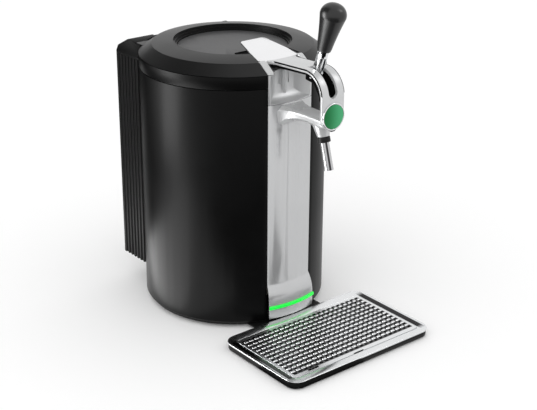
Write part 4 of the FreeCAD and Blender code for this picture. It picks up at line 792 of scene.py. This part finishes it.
def buildFloor():
    bpy.ops.mesh.primitive_plane_add(size=stageSet["floorSize"],
                                     location=(0.0, 0.0, -stageSet["floorDrop"]))
    floor = bpy.context.active_object
    floor.name = "studioFloor"
    material, tree, surface = newMaterial("floorPaper")[:3]
    surface.inputs["Roughness"].default_value = 1.0
    surface.inputs["Specular IOR Level"].default_value = 0.0
    surface.inputs["Base Color"].default_value = (*[stageSet["floorShade"]] * 3, 1.0)
    glow = addNode(tree, "ShaderNodeEmission")
    glow.inputs["Strength"].default_value = stageSet["floorGlow"]
    mirrored = addNode(tree, "ShaderNodeEmission")
    mirrored.inputs["Strength"].default_value = stageSet["floorMirrored"]
    lit = addNode(tree, "ShaderNodeAddShader")
    path = addNode(tree, "ShaderNodeLightPath")
    seenByCamera = addNode(tree, "ShaderNodeMixShader")
    seenInMirror = addNode(tree, "ShaderNodeMixShader")
    output = next(item for item in tree.nodes if item.type == "OUTPUT_MATERIAL")
    tree.links.new(surface.outputs["BSDF"], lit.inputs[0])
    tree.links.new(glow.outputs["Emission"], lit.inputs[1])
    tree.links.new(path.outputs["Is Camera Ray"], seenByCamera.inputs["Fac"])
    tree.links.new(surface.outputs["BSDF"], seenByCamera.inputs[1])
    tree.links.new(lit.outputs["Shader"], seenByCamera.inputs[2])
    tree.links.new(path.outputs["Is Glossy Ray"], seenInMirror.inputs["Fac"])
    tree.links.new(seenByCamera.outputs["Shader"], seenInMirror.inputs[1])
    tree.links.new(mirrored.outputs["Emission"], seenInMirror.inputs[2])
    tree.links.new(seenInMirror.outputs["Shader"], output.inputs["Surface"])
    floor.data.materials.append(material)


# cards seen only in the piece's reflections: centre, what each faces, width, height, how bright
cards = {
    "floorCard": ((-1.3, -1.57, 0.0015), (-1.3, -1.57, 1.0), 2.6, 2.86, 0.0),
    "floorCardRight": ((0.10, -1.71, 0.0015), (0.10, -1.71, 1.0), 0.20, 2.58, 0.0),
    "floorStrip": ((-0.625, 0.20, 0.0015), (-0.625, 0.20, 1.0), 0.95, 0.32, 6.0),
    "floorStripSoft": ((-0.62, -0.05, 0.0015), (-0.62, -0.05, 1.0), 0.96, 0.18, 2.6),
    "rearFloorCard": ((-0.62, 0.93, 0.0015), (-0.62, 0.93, 1.0), 0.95, 1.14, 0.0),
    "rearCard": ((-0.35, 1.50, 0.60), (-0.35, 0.0, 0.60), 1.1, 1.2, 0.0),
    "backCard": ((-0.70, 0.75, 1.30), (-0.70, 0.75, 0.0), 1.1, 1.7, 0.0),
}


def buildCards():
    for name, (place, target, width, height, glow) in cards.items():
        material, tree, surface = newMaterial(name)[:3]
        surface.inputs["Base Color"].default_value = (*[stageSet["cardShade"]] * 3, 1.0)
        surface.inputs["Specular IOR Level"].default_value = 0.0
        surface.inputs["Roughness"].default_value = 1.0
        surface.inputs["Emission Color"].default_value = (1.0, 1.0, 1.0, 1.0)
        surface.inputs["Emission Strength"].default_value = glow
        bpy.ops.mesh.primitive_plane_add(size=1.0, location=place)
        card = bpy.context.active_object
        card.name = name
        card.scale = (width, height, 1.0)
        facing = Vector(target) - Vector(place)
        card.rotation_euler = facing.to_track_quat("Z", "Y").to_euler()
        card.data.materials.append(material)
        for ray in ("camera", "diffuse", "transmission", "volume_scatter", "shadow"):
            setattr(card, "visible_" + ray, False)


def buildLamps():
    for name, (place, target, width, height, radiance, use) in lamps.items():
        data = bpy.data.lights.new(name, "AREA")
        data.shape = "RECTANGLE"
        data.size = width
        data.size_y = height
        data.energy = radiance * math.pi * width * height
        lamp = bpy.data.objects.new(name, data)
        bpy.context.scene.collection.objects.link(lamp)
        lamp.location = place
        facing = Vector(target) - Vector(place)
        lamp.rotation_euler = facing.to_track_quat("-Z", "Y").to_euler()
        lamp.visible_camera = False
        lamp.visible_glossy = use == "mirrored"
        lamp.visible_diffuse = use == "lights"


def buildCamera():
    data = bpy.data.cameras.new("studioCamera")
    data.sensor_width = cameraSpot["sensor"]
    data.sensor_fit = "HORIZONTAL"
    data.lens = cameraSpot["lens"]
    data.clip_start = cameraSpot["near"]
    data.clip_end = cameraSpot["far"]
    camera = bpy.data.objects.new("studioCamera", data)
    bpy.context.scene.collection.objects.link(camera)
    eye, aim = Vector(cameraSpot["eye"]), Vector(cameraSpot["aim"])
    turn = (aim - eye).to_track_quat("-Z", "Y")
    camera.location = eye
    camera.rotation_mode = "QUATERNION"
    camera.rotation_quaternion = turn @ Quaternion((0.0, 0.0, 1.0), math.radians(cameraSpot["roll"]))
    bpy.context.scene.camera = camera


buildWorld()
buildFloor()
buildLamps()
buildCards()
buildCamera()
bpy.context.scene.view_settings.view_transform = "Standard"
print("stage built")
